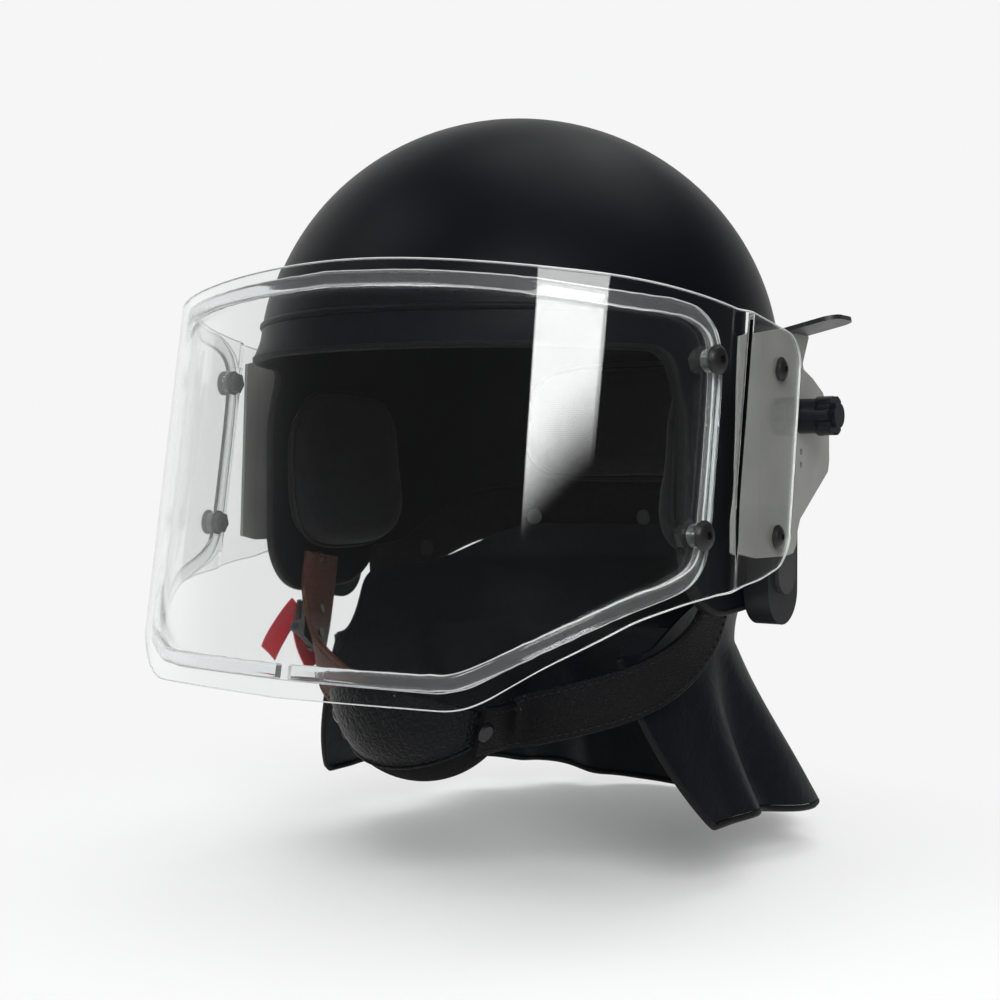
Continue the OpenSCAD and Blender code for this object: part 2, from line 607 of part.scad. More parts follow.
module inner_pane() {
    color([0.9, 0.95, 0.97, 0.3]) difference() {
        loft([for (s = both(inner_s)) [visor_at(s, inner_top(s), stack),
            visor_at(s, inner_low(s), stack), visor_at(s, inner_low(s), inner_d),
            visor_at(s, inner_top(s), inner_d)]]);
        at_pane_screws() translate([0, 0, inner_d - 1.5]) cylinder(h = inner_t + 3, d = hole_d, $fn = 32);
    }
}
// The bead runs round in one piece, with a small break at the lower middle
bead_gap = 7;
face_gap = 0.3;
low_part = concat([[bead_gap / 2, seal_low[0][1]]], [for (i = [1:len(seal_low) - 1]) seal_low[i]]);
top_part = [for (i = [len(seal_top) - 1:-1:0]) seal_top[i]];
bead_half = rounded_path(concat(low_part, top_part));
bead_path = concat(bead_half, [for (i = [len(bead_half) - 2:-1:0]) [-bead_half[i][0], bead_half[i][1]]]);
// Cuts each corner of a path twice, so that it bends smoothly
function cut_corners(p) = concat([p[0]], [for (i = [0:len(p) - 2]) each
    [p[i] * 0.75 + p[i + 1] * 0.25, p[i] * 0.25 + p[i + 1] * 0.75]], [p[len(p) - 1]]);
function rounded_path(p) = cut_corners(cut_corners(p));
function path_dir(p, i) = let(d = p[min(i + 1, len(p) - 1)] - p[max(i - 1, 0)]) d / norm(d);
module visor_gasket() {
    color([0.95, 0.97, 0.97, 0.5]) difference() {
        loft([for (i = [0:len(bead_path) - 1])
            let(p = bead_path[i], t = path_dir(bead_path, i), k = bead_w / 2)
            [for (c = [[k, 1], [-k, 1], [-k, 0], [k, 0]])
                visor_at(p[0] - t[1] * c[0], p[1] + t[0] * c[0],
                    outer_t + face_gap + c[1] * (bead_t - 2 * face_gap))]]);
        at_pane_screws() cylinder(h = stack, d = spacer_d + 0.2, $fn = 40);
    }
}
head_r = screw_d + 0.3;
module button_head() {
    difference() {
        rotate_extrude($fn = 40) polygon(concat([[0, 0], [head_r, 0], [head_r, -0.8]],
            [for (a = [15:15:75]) [(head_r - 0.6) * cos(a), -0.8 - (head_h - 0.8) * sin(a)]],
            [[0, -head_h]]));
        translate([0, 0, -head_h - 0.5]) cylinder(h = 2.3, d = screw_d * 0.62, $fn = 6);
    }
}
module pane_screws() {
    color("#17181a") at_pane_screws() {
        button_head();
        cylinder(h = stack + 3.5, d = screw_d, $fn = 32);
    }
}
spacer_d = screw_d + 4;
module pane_spacers() {
    color([0.93, 0.95, 0.95, 0.6]) at_pane_screws() translate([0, 0, outer_t + face_gap]) difference() {
        cylinder(h = bead_t - 2 * face_gap, d = spacer_d, $fn = 40);
        translate([0, 0, -1]) cylinder(h = bead_t + 2, d = screw_d, $fn = 32);
    }
}
module lock_nut(d) {
    difference() {
        union() {
            cylinder(h = 0.8, d = d * 2.05, $fn = 40);
            cylinder(h = 3.8, d = d * 1.8, $fn = 6);
        }
        translate([0, 0, -1]) cylinder(h = 6, d = d, $fn = 32);
    }
}
module pane_nuts() { color("#2c2d2f") at_pane_screws() translate([0, 0, stack + face_gap]) lock_nut(screw_d); }
wing_stack = outer_t + bracket_t;
wing_head = 0.84;
module wing_screws() {
    color("#17181a") at_wing_screws() {
        scale(wing_head) button_head();
        cylinder(h = wing_stack + 3.8, d = screw_d, $fn = 32);
    }
}
module wing_nuts() { color("#2c2d2f") at_wing_screws() translate([0, 0, wing_stack]) lock_nut(screw_d); }

// Sheet: each ring runs down the outer face and up the inner one, so its ends close pair by pair
function sheet_faces(m, n) = let(k = n / 2) concat(
    [for (i = [0:m - 2], j = [0:n - 1]) [i * n + j, i * n + (j + 1) % n, (i + 1) * n + (j + 1) % n]],
    [for (i = [0:m - 2], j = [0:n - 1]) [i * n + j, (i + 1) * n + (j + 1) % n, (i + 1) * n + j]],
    [for (j = [0:k - 2]) [j + 1, j, n - 1 - j]],
    [for (j = [0:k - 2]) [j + 1, n - 1 - j, n - 2 - j]],
    [for (j = [0:k - 2]) let(b = (m - 1) * n) [b + j, b + j + 1, b + n - 1 - j]],
    [for (j = [0:k - 2]) let(b = (m - 1) * n) [b + j + 1, b + n - 2 - j, b + n - 1 - j]]);
module sheet(rings) {
    polyhedron([for (r = rings) each r], sheet_faces(len(rings), len(rings[0])));
}

// Chin cup: a bowl whose rim is high in front and low behind
cup_y = -88;
cup_z = -124;
function cup_low(u) = -5 + 20 * (1 - cos(u));
function cup_pt(u, e, d) = [(cup_half_w - d) * cos(e) * sin(u), cup_y - (cup_half_l - d) * cos(e) * cos(u),
    cup_z - (cup_deep - d) * sin(e)];
cup_steps = [0, 0.1, 0.22, 0.36, 0.5, 0.64, 0.78, 0.9];
function cup_rings(d, below) = [for (k = cup_steps) [for (j = [0:35])
    let(u = -j * 10, low = cup_low(u) + below) cup_pt(u, low + (90 - low) * k, d)]];
module cup_bowl(d, t, below) {
    bowl(cup_rings(d, below), cup_rings(d + t, below), [0, cup_y, cup_z - cup_deep + d],
        [0, cup_y, cup_z - cup_deep + d + t]);
}
// Middle line of a chin strap from the lobe to the cup, with the direction of its width. Each point
// gives its share of the way from the cup's side out to the lobe, its place along the helmet and its height
lobe_gap = 1.6;
strap_x = shell_in - lobe_gap - strap_t / 2;
strap_pts = [[1, -25, -70], [1, -28, -87], [0.948, -33, -101], [0.849, -42, -113], [0.703, -53, -122],
    [0.504, -63, -128], [0.239, -72, -134]];
function on_cup(u) = cup_pt(u, 20, -strap_t / 2 - 0.6);
strap_line = concat([for (p = strap_pts) [cup_half_w + (strap_x - cup_half_w) * p[0], p[1], p[2]]],
    [on_cup(110), on_cup(90), on_cup(72)]);
strap_across = [[0, 1, 0], [0, 1, -0.15], [0.1, 0.9, -0.5], [0.15, 0.6, -0.8], [0.15, 0.25, -0.95],
    [0.1, 0, -1], [-0.1, -0.05, -1], [-0.3, 0.05, -0.94], [-0.35, 0, -0.94], [-0.33, -0.1, -0.94]];
strap_mid = cut_corners(cut_corners(strap_line));
strap_wide = cut_corners(cut_corners(strap_across));
function unit(v) = v / norm(v);
function strap_frame(i) = let(t = path_dir(strap_mid, i), h = strap_wide[i], w = unit(h - (h * t) * t))
    [strap_mid[i], t, w, cross(w, t)];
module strap_band() {
    sheet([for (i = [0:len(strap_mid) - 1]) let(f = strap_frame(i))
        [for (c = [[1, -1], [-1, -1], [-1, 1], [1, 1]])
            f[0] + f[2] * c[0] * strap_w / 2 - f[3] * c[1] * strap_t / 2]]);
}
// Puts a child on the strap at station i: X along it, Y across it and Z out of its outer face
module on_strap(i) {
    f = strap_frame(i);
    n = -f[3];
    w = cross(n, f[1]);
    o = f[0] + n * strap_t / 2;
    multmatrix([[f[1][0], w[0], n[0], o[0]], [f[1][1], w[1], n[1], o[1]], [f[1][2], w[2], n[2], o[2]]])
        children();
}
// The same for one point, given along the strap, across it and out of it
function strap_point(i, p) = let(f = strap_frame(i), n = -f[3], w = cross(n, f[1]))
    f[0] + f[1] * p[0] + w * p[1] + n * (strap_t / 2 + p[2]);
strap_last = len(strap_mid) - 1;
top_stud = 2;
cup_stud = strap_last - 2;
buckle_at = 11;
stud_shank = 4;
module stud_holes(d) {
    for (i = [top_stud, cup_stud]) on_strap(i) translate([0, 0, -12]) cylinder(h = 24, d = d, $fn = 32);
}
module buckle_holes() {
    on_strap(buckle_at) for (k = [-1, 1]) translate([k * rivet_at, 0, -strap_t - rivet_back])
        cylinder(h = strap_t + rivet_back + 1, d = rivet_d + 0.2, $fn = 32);
}
module left_chin_strap() {
    color("#111113") difference() {
        strap_band();
        stud_holes(stud_shank + 0.2);
    }
}
module right_chin_strap() {
    color("#3a2622") mirror([1, 0, 0]) difference() {
        strap_band();
        stud_holes(stud_shank + 0.2);
        buckle_holes();
        on_strap(buckle_at) translate([-buckle_l / 2 - 0.2, -buckle_w / 2 - 0.2, 0.05])
            cube([buckle_l + 0.4, buckle_w + 0.4, strap_t]);
    }
}
module strap_studs() {
    color("#77787b") both_sides() for (i = [top_stud, cup_stud]) on_strap(i) {
        in = i == top_stud ? 1 : strap_t + cup_t + lining_t + 1;
        rotate_extrude($fn = 32) polygon([[0, 0.1], [stud_d / 2, 0.1], [stud_d / 2, 0.5],
            [stud_d / 2 - 1.2, 1.2], [0, 1.3]]);
        translate([0, 0, i == top_stud ? -strap_t - 1 : -in]) cylinder(h = in + 1, d = stud_shank, $fn = 32);
    }
}
module chin_cup() {
    color("#17181a") difference() {
        cup_bowl(0, cup_t, 0);
        both_sides() stud_holes(stud_shank + 0.2);
    }
}
module chin_cup_lining() {
    color("#0e0e0f") difference() {
        cup_bowl(cup_t + soft_gap, lining_t, 3);
        both_sides() stud_holes(stud_shank + 0.2);
    }
}

// Quick-release buckle on the right strap
buckle_l = 30;
buckle_w = 20;
rivet_d = 2.4;
rivet_at = 8;
rivet_back = 1.7;
pawl_at = 7;
pawl_z = 5;
pawl_d = 3;
module buckle_body() {
    color("#232426") mirror([1, 0, 0]) on_strap(buckle_at) {
        difference() {
            union() {
                translate([-buckle_l / 2, -buckle_w / 2, 0.1]) cube([buckle_l, buckle_w, 2]);
                for (k = [-1, 1]) translate([pawl_at, k * (buckle_w / 2 - 1.25), 0.1]) {
                    translate([-3.5, -1.25, 0]) cube([7, 2.5, pawl_z]);
                    translate([0, 1.25, pawl_z]) rotate([90, 0, 0]) cylinder(h = 2.5, r = 3.5, $fn = 40);
                }
            }
            translate([pawl_at, 20, pawl_z]) rotate([90, 0, 0])
                cylinder(h = 40, d = pawl_d + 2 * run_gap, $fn = 40);
        }
        for (k = [-1, 1]) translate([k * rivet_at, 0, -strap_t - rivet_back]) {
            cylinder(h = strap_t + rivet_back + 0.7, d = rivet_d, $fn = 32);
            cylinder(h = 0.7, d = rivet_d * 2, $fn = 32);
        }
    }
}
pawl_w = buckle_w - 5.6;
pawl_l = 19;
module buckle_pawl() {
    color("#2c2d30") mirror([1, 0, 0]) on_strap(buckle_at) translate([pawl_at, 0, pawl_z]) {
        rotate([90, 0, 0]) cylinder(h = buckle_w + 0.4, d = pawl_d, center = true, $fn = 40);
        rotate([90, 0, 0]) cylinder(h = pawl_w, d = pawl_d + 2, center = true, $fn = 40);
        translate([-pawl_l, -pawl_w / 2, -0.4]) difference() {
            cube([pawl_l, pawl_w, 2]);
            translate([1.6, 2, -1]) cube([2.2, pawl_w - 4, 4]);
        }
    }
}
// Red pull ribbon: two legs that hang from the free end of the pawl
ribbon_w = 13;
ribbon_t = 0.8;
ribbon_top = strap_point(buckle_at, [pawl_at - pawl_l + 0.3, -3.1, pawl_z + 2.9]);
front_leg = [-1.7, -21, -24];
rear_leg = [-0.3, 12, -33];
module ribbon_leg(leg, out) {
    side = unit(cross([1, 0, 0], unit(leg)));
    sheet([for (k = [0:6]) let(q = k / 6, o = out + 2.2 * sin(q * 180))
        [for (c = [[-1, 0], [1, 0], [1, 1], [-1, 1]])
            to_side(ribbon_top, -1) + leg * q + side * c[0] * ribbon_w / 2 - [o + c[1] * ribbon_t, 0, 0]]]);
}
module pull_ribbon() {
    color("#c4121d") {
        ribbon_leg(front_leg, 0);
        ribbon_leg(rear_leg, -0.4);
    }
}

// Neck band inside the nape and the cape that hangs from it
band_d = shell_wall + trim_over + soft_gap;
band_hang = 22;
band_rise = 20;
function band_low(u) = -nape_drop - band_hang + band_rise * ease((u - 105) / 30);
band_start = 97;
band_bulge = 1.12;
function mirrored_u(u) = u > 180 ? 360 - u : u;
module nape_band() {
    color("#161617") sheet([for (i = [0:28]) let(u = band_start + (360 - 2 * band_start) * i / 28,
        low = band_low(mirrored_u(u)), h = min(band_h, 18 + 12 * ease((mirrored_u(u) - 100) / 20)))
        [for (c = [[0, 1], [0.5, band_bulge], [1, 1], [1, 0], [0.5, 0], [0, 0]])
            inner_pt(u, low + h * (1 - c[0]), band_d + band_t * c[1])]]);
}
waist_drop = nape_drop + 50;
waist_w = half_w - 28;
waist_l = half_l - 41.5;
hem_w = 29;
cape_y = 4;
function up_flare(z) = pow(min(1, max(0, waist_drop + z) / 37), 2.5);
function down_flare(z) = max(0, -z - waist_drop) / (hem_drop - 14 - waist_drop);
function cape_a(z) = waist_w + 17 * up_flare(z) + hem_w * pow(down_flare(z), 1.4);
function cape_b(z, rear) = waist_l + 16 * up_flare(z)
    + (hem_out + 20) * pow(down_flare(z), rear ? 0.75 : 1);
function cape_top(q) = -nape_drop - 46 + 30 * ease((q - 0.03) / 0.12) + 22 * ease((q - 0.3) / 0.4);
function cape_low(q) = -hem_drop + 29 - 11 * ease((q - 0.12) / 0.15) - 18 * ease((q - 0.3) / 0.7);
function bump(q, at, w) = exp(-pow((q - at) / w, 2));
function folds(q) = 0.3 * bump(q, 0.13, 0.035) - bump(q, 0.19, 0.035) + 0.5 * bump(q, 0.3, 0.07)
    - 0.8 * bump(q, 0.45, 0.06) - 0.9 * bump(q, 0.72, 0.06) + 0.3 * bump(q, 0.6, 0.06)
    + 0.35 * bump(q, 0.92, 0.08);
// Turn of the cape round the neck at its top and at its hem: share of the way round and ring angle
top_turn = [[0, 60], [0.15, 93], [0.27, 102.6], [1, 180]];
hem_turn = [[0, 83], [0.15, 93], [0.27, 118.7], [1, 180]];
function cape_u(q, v) = lookup(q, top_turn) * (1 - v) + lookup(q, hem_turn) * v;
// Point of the cape: q runs from the front edge to the middle of the back, v from the top to the hem
function cape_pt(q, v, d) = let(z = cape_top(q) + (cape_low(q) - cape_top(q)) * v, u = cape_u(q, v),
    n = 2.5 - (u > 90 ? 0.3 : 0) * up_flare(z), k = d + fold_h * folds(q) * ease((v - 0.2) / 0.7))
    [(cape_a(z) + k) * pow(abs(sin(u)), 2 / n),
     cape_y - (cape_b(z, u > 90) + k) * sign(cos(u)) * pow(abs(cos(u)), 2 / n), z];
function to_side(p, k) = [p[0] * k, p[1], p[2]];
cape_q = [0, 0.02, 0.05, 0.08, 0.105, 0.125, 0.14, 0.15, 0.16, 0.175, 0.195, 0.22, 0.26, 0.31, 0.36, 0.4,
    0.44, 0.48, 0.53, 0.6, 0.66, 0.71, 0.76, 0.82, 0.88, 0.94];
cape_v = [0, 0.12, 0.26, 0.4, 0.55, 0.7, 0.85, 1];
function cape_ring(q, k) = concat([for (v = cape_v) to_side(cape_pt(q, v, -cape_t), k)],
    [for (i = [len(cape_v) - 1:-1:0]) to_side(cape_pt(q, cape_v[i], 0), k)]);
module neck_cape() {
    color("#131417") sheet(concat([for (q = cape_q) cape_ring(q, 1)], [cape_ring(1, 0)],
        [for (i = [len(cape_q) - 1:-1:0]) cape_ring(cape_q[i], -1)]));
}
// Piping down the front edge and round the hem
pipe_off = piping_d / 2 + 0.15;
function edge_pt(v) = let(p = cape_pt(0, v, -cape_t / 2), w = p - cape_pt(cape_q[1], v, -cape_t / 2),
    e = unit(cape_pt(0, v + 0.03, -cape_t / 2) - cape_pt(0, v - 0.03, -cape_t / 2)))
    p + unit(w - (w * e) * e) * pipe_off;
function hem_pt(q) = cape_pt(q, 1, -cape_t / 2) + [0, q == 0 ? -pipe_off : 0, -pipe_off];
pipe_side = concat([for (v = [0.02, 0.12, 0.26, 0.4, 0.55, 0.7, 0.85, 0.96]) edge_pt(v)],
    [for (q = cape_q) hem_pt(q)]);
pipe_path = concat(pipe_side, [to_side(hem_pt(1), 0)],
    [for (i = [len(pipe_side) - 1:-1:0]) to_side(pipe_side[i], -1)]);
module cape_piping() {
    color("#0b0b0d") loft([for (i = [0:len(pipe_path) - 1]) let(t = path_dir(pipe_path, i),
        a = unit(cross(t, abs(t[2]) > 0.7 ? [1, 0, 0] : [0, 0, 1])), b = cross(t, a))
        [for (w = [300:-60:0]) pipe_path[i] + (a * cos(w) + b * sin(w)) * piping_d / 2]]);
}
snap_u = [112, 146, 180];
module cape_snaps() {
    color("#8a8b8d") for (u = snap_u, k = u == 180 ? [1] : [-1, 1]) mirror([k < 0 ? 1 : 0, 0, 0]) {
        z = band_low(u) + 12;
        o = inner_pt(u, z, band_d + band_t * band_bulge + 0.45);
        n = unit(inner_pt(u, z, band_d + band_t + 10) - inner_pt(u, z, band_d + band_t));
        translate(o) multmatrix([[n[1], 0, n[0], 0], [-n[0], 0, n[1], 0], [0, 1, 0, 0]])
            cylinder(h = 2, d = 9, $fn = 32);
    }
}

shell();
brow_line();
edge_trim();
liner_foam();
crown_pad();
brow_pad();
rear_pad();
left_ear_pad();
right_ear_pad();
left_hinge_base();
right_hinge_base();
left_base_plate();
right_base_plate();
base_screws();
base_nuts();
left_pivot_bolt();
right_pivot_bolt();
left_friction_washer();
right_friction_washer();
left_bracket();
right_bracket();
outer_pane();
inner_pane();
visor_gasket();
pane_screws();
pane_spacers();
pane_nuts();
wing_screws();
wing_nuts();
left_collar();
right_collar();
left_knob();
right_knob();
chin_cup();
chin_cup_lining();
left_chin_strap();
right_chin_strap();
strap_studs();
buckle_body();
buckle_pawl();
pull_ribbon();
nape_band();
neck_cape();
cape_piping();
cape_snaps();
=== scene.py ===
"""Riot helmet with a pivoting visor: the looks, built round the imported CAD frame.

Shapes are worked out in millimetres, with the same formulas as the part's source, and scaled to metres when a
mesh is made.
"""

from math import asin, atan2, cos, degrees, pi, radians, sin, sqrt

import bmesh
import bpy
import numpy as np
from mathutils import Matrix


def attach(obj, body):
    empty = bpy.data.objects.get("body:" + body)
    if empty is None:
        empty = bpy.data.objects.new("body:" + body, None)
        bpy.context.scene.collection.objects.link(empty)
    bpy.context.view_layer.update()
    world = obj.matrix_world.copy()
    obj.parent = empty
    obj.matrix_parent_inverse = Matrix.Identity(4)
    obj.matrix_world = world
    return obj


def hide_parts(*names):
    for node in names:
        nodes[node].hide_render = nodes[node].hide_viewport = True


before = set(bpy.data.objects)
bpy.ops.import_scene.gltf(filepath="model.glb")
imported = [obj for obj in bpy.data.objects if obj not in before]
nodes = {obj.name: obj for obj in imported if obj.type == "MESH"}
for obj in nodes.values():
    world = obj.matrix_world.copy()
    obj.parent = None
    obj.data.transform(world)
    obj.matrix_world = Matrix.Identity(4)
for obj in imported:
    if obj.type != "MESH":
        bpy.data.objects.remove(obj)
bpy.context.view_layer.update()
MM = 0.001
scene = bpy.context.scene

# Camera, stage and light, in metres

LENS, SENSOR = 54.0, 36.0
CAMERA_AT, CAMERA_DOWN, CAMERA_ROUND = (0.4311, -0.6329, -0.0246), 1.12, 35.44
BACKDROP = (0.92, 0.92, 0.922)
FLOOR_Z, FLOOR_R, FLOOR_SIDES = -0.219, 8, 96
FLOOR_COLOR = (0.9, 0.9, 0.902)
# Distances over which the lit floor gives way to plain backdrop, and over which its mirror image dims
FLOOR_FADE, FLOOR_DUSK = (0.15, 0.5), (0.25, 1.6)
# Strength of the world as a light, and grey of the dim room that gloss mirrors
SKY, ROOM = 0.6, 0.04
BRIGHT_WAY = (-0.8, 0.6, -0.35)


def add(name, data):
    obj = bpy.data.objects.new(name, data)
    scene.collection.objects.link(obj)
    return obj


def look(obj, rotation, location):
    obj.rotation_euler = rotation
    obj.location = location


def circle(n):
    """Points of the unit circle."""
    w = np.arange(n) * 2 * pi / n
    return np.stack([np.cos(w), np.sin(w)], 1)


camera_data = bpy.data.cameras.new("camera")
camera_data.lens = LENS
camera_data.sensor_width = SENSOR
camera_data.clip_end = 50
camera = add("camera", camera_data)
look(camera, (radians(90 - CAMERA_DOWN), 0, radians(CAMERA_ROUND)), CAMERA_AT)
scene.camera = camera
scene.view_settings.view_transform = "Standard"


def node(tree, kind, **settings):
    n = tree.nodes.new("ShaderNode" + kind)
    for key, value in settings.items():
        setattr(n, key, value)
    return n


def fed(tree, n, *values):
    """Feeds sockets or numbers to the first inputs of a node and returns its first output."""
    for i, v in enumerate(values):
        if hasattr(v, "links"):
            tree.links.new(v, n.inputs[i])
        else:
            n.inputs[i].default_value = v
    return n.outputs[0]


def joined(tree, operation, a, b):
    return fed(tree, node(tree, "Math", operation=operation), a, b)


def graded(tree, value, start, end, first=0.0, last=1.0):
    """Goes smoothly from first to last while the value goes from start to end."""
    return fed(tree, node(tree, "MapRange", interpolation_type="SMOOTHSTEP"), value, start, end, first, last)


def blended(tree, factor, a, b):
    """A colour between a and b."""
    n = node(tree, "Mix", data_type="RGBA")
    n.inputs["A"].default_value = (*a, 1)
    n.inputs["B"].default_value = (*b, 1)
    tree.links.new(factor, n.inputs["Factor"])
    return n.outputs["Result"]


def end_with(tree, output, share, a, b):
    """Sends a mix of two shaders to an output node."""
    tree.links.new(fed(tree, node(tree, "MixShader"), share, a, b), output.inputs["Surface"])


class Mat:
    """A principled material with a few helpers for its procedural detail."""

    def __init__(self, name, color, rough, metallic=0.0, **extra):
        self.m = bpy.data.materials.new(name)
        self.m.use_nodes = True
        self.tree = self.m.node_tree
        self.shader = self.tree.nodes["Principled BSDF"]
        values = {"Base_Color": (*color, 1), "Roughness": rough, "Metallic": metallic, **extra}
        for key, value in values.items():
            self.shader.inputs[key.replace("_", " ")].default_value = value
        self.co = self.new("TexCoord").outputs["Object"]
        self.normal = None

    def new(self, kind, **props):
        return node(self.tree, kind, **props)

    def link(self, a, b):
        self.tree.links.new(a, b)

    def texture(self, n, scale, vector=None, **values):
        """Lays a texture on the object, or on the given vector."""
        for key, value in {"Scale": scale, **values}.items():
            n.inputs[key].default_value = value
        self.link(vector or self.co, n.inputs["Vector"])
        return n.outputs

    def noise(self, scale, detail=3.0, rough=0.5, vector=None, distort=0.0):
        n = self.new("TexNoise")
        return self.texture(n, scale, vector, Detail=detail, Roughness=rough, Distortion=distort)["Fac"]

    def cells(self, scale, feature="F1"):
        return self.texture(self.new("TexVoronoi", feature=feature), scale)["Distance"]

    def wave(self, scale, direction, distort=0.0):
        return self.texture(self.new("TexWave", bands_direction=direction), scale, Distortion=distort)["Fac"]

    def math(self, operation, a, b):
        return joined(self.tree, operation, a, b)

    def spread(self, fac, low, high, start=0.0, end=1.0):
        return fed(self.tree, self.new("MapRange"), fac, start, end, low, high)

    def blend_color(self, fac, a, b):
        self.link(blended(self.tree, fac, a, b), self.shader.inputs["Base Color"])

    def vary_color(self, fac, color, low, high):
        """Goes between a darker and a lighter form of one colour."""
        self.blend_color(fac, [low * c for c in color], [high * c for c in color])

    def rough_from(self, fac, low, high):
        self.link(self.spread(fac, low, high), self.shader.inputs["Roughness"])

    def bump(self, height, strength, distance):
        n = self.new("Bump")
        n.inputs["Strength"].default_value = strength
        n.inputs["Distance"].default_value = distance
        self.link(height, n.inputs["Height"])
        if self.normal:
            self.link(self.normal, n.inputs["Normal"])
        self.normal = n.outputs["Normal"]
        self.link(self.normal, self.shader.inputs["Normal"])


def seen_rays(tree):
    """1 for camera, glossy and transmission rays, 0 for the rays that light the object."""
    path = node(tree, "LightPath").outputs
    first = joined(tree, "MAXIMUM", path["Is Camera Ray"], path["Is Glossy Ray"])
    return joined(tree, "MAXIMUM", first, path["Is Transmission Ray"])


def straight_rays(tree):
    """1 for camera rays and what they become behind glass, 0 once they were mirrored or scattered."""
    path = node(tree, "LightPath").outputs
    turned = joined(tree, "ADD", path["Glossy Depth"], path["Diffuse Depth"])
    straight = joined(tree, "LESS_THAN", turned, 0.5)
    through = joined(tree, "MULTIPLY", path["Is Transmission Ray"], straight)
    return joined(tree, "MAXIMUM", path["Is Camera Ray"], through)


def bright_side(tree, way):
    """1 in the bright direction from the object, 0 on the dim side of the room."""
    dot = node(tree, "VectorMath", operation="DOT_PRODUCT")
    fed(tree, dot, way, BRIGHT_WAY)
    return graded(tree, dot.outputs["Value"], 0.0, 0.8)


def make_world():
    """A pale backdrop, seen behind the object and in what mirrors it, in a room with a dim near side."""
    world = bpy.data.worlds.new("studio")
    scene.world = world
    world.use_nodes = True
    tree = world.node_tree
    tree.nodes.clear()
    side = bright_side(tree, node(tree, "TexCoord").outputs["Generated"])
    bright = joined(tree, "MAXIMUM", straight_rays(tree), side)
    tint = blended(tree, bright, (ROOM, ROOM, ROOM * 1.03), BACKDROP)
    shown = fed(tree, node(tree, "Background"), tint, 1.0)
    lit = fed(tree, node(tree, "Background"), (1, 1, 1, 1), SKY)
    end_with(tree, node(tree, "OutputWorld"), seen_rays(tree), lit, shown)


make_world()


def make_floor():
    """A round floor in the backdrop's colour: lit and shadowed near the object, plain further out."""
    data = bpy.data.meshes.new("floor")
    ring = [(FLOOR_R * x, FLOOR_R * y, FLOOR_Z) for x, y in circle(FLOOR_SIDES)]
    data.from_pydata(ring, [], [tuple(range(FLOOR_SIDES))])
    floor = add("floor", data)
    m = Mat("floor_paint", FLOOR_COLOR, 0.8, Specular_IOR_Level=0.0)
    length = m.new("VectorMath", operation="LENGTH")
    fed(m.tree, length, m.co)
    far = length.outputs["Value"]
    side = bright_side(m.tree, fed(m.tree, m.new("VectorMath", operation="NORMALIZE"), m.co))
    bright = m.math("MAXIMUM", straight_rays(m.tree), side)
    glow = m.math("MAXIMUM", bright, graded(m.tree, far, *FLOOR_DUSK, 1.0, 0.045))
    plain = fed(m.tree, m.new("Emission"), (*BACKDROP, 1), glow)
    share = m.math("MULTIPLY", graded(m.tree, far, *FLOOR_FADE), seen_rays(m.tree))
    end_with(m.tree, m.tree.nodes["Material Output"], share, m.shader.outputs[0], plain)
    data.materials.append(m.m)


make_floor()


def area_light(name, at, target, size, power, size_y=None, fade=None):
    """An area lamp aimed at a target; fade says between which heights on the lamp its strength rises."""
    data = bpy.data.lights.new(name, "AREA")
    data.shape = "RECTANGLE"
    data.size = size
    data.size_y = size_y or size
    data.energy = power
    lamp = add(name, data)
    v = np.array(target, float) - np.array(at, float)
    look(lamp, (atan2(sqrt(v[0] ** 2 + v[1] ** 2), -v[2]), 0, atan2(v[1], v[0]) - pi / 2), at)
    if fade:
        data.use_nodes = True
        tree = data.node_tree
        place = node(tree, "SeparateXYZ")
        fed(tree, place, node(tree, "NewGeometry").outputs["Parametric"])
        tree.links.new(graded(tree, place.outputs["Y"], *fade), tree.nodes["Emission"].inputs["Strength"])


# The window's mirror image is the white band on the visor
area_light("window", (0.96, -0.98, 0.66), (0.115, -0.137, 0.02), 0.96, 17, 0.86, (0.0, 0.2))
area_light("key", (-1.1, -1.3, 1.9), (0, 0, 0), 1.4, 12)
area_light("top", (0.2, 0.7, 2.0), (0, 0, 0), 1.6, 12)

# Materials


def shell_paint():
    m = Mat("shell_paint", (0.007, 0.0078, 0.0105), 0.42, Specular_IOR_Level=0.08)
    m.blend_color(m.noise(9, 2), (0.0022, 0.0028, 0.0044), (0.0034, 0.004, 0.0058))
    m.rough_from(m.noise(38, 4), 0.36, 0.46)
    m.bump(m.noise(1400, 2), 0.05, 0.0004)
    m.bump(m.noise(160, 2), 0.03, 0.0006)
    return m.m


def rubber():
    m = Mat("edge_rubber", (0.004, 0.004, 0.0046), 0.55, Specular_IOR_Level=0.15)
    m.rough_from(m.noise(220, 3), 0.48, 0.66)
    m.bump(m.noise(1800, 3), 0.12, 0.0003)
    return m.m


def foam():
    m = Mat("liner_foam", (0.02, 0.02, 0.022), 0.85, Specular_IOR_Level=0.15)
    cells = m.cells(900)
    m.blend_color(cells, (0.01, 0.01, 0.011), (0.028, 0.028, 0.03))
    m.bump(cells, 0.4, 0.0006)
    return m.m


def cushion_cloth():
    m = Mat("cushion_cloth", (0.005, 0.005, 0.006), 0.88, Sheen_Weight=0.08, Sheen_Roughness=0.5,
            Specular_IOR_Level=0.15)
    knit = m.math("MULTIPLY", m.wave(260, "Z", 1.2), m.wave(260, "DIAGONAL", 1.2))
    m.blend_color(m.noise(60, 4), (0.0035, 0.0036, 0.0046), (0.0075, 0.0076, 0.009))
    m.bump(knit, 0.2, 0.0003)
    m.bump(m.noise(2200, 2), 0.3, 0.0003)
    return m.m


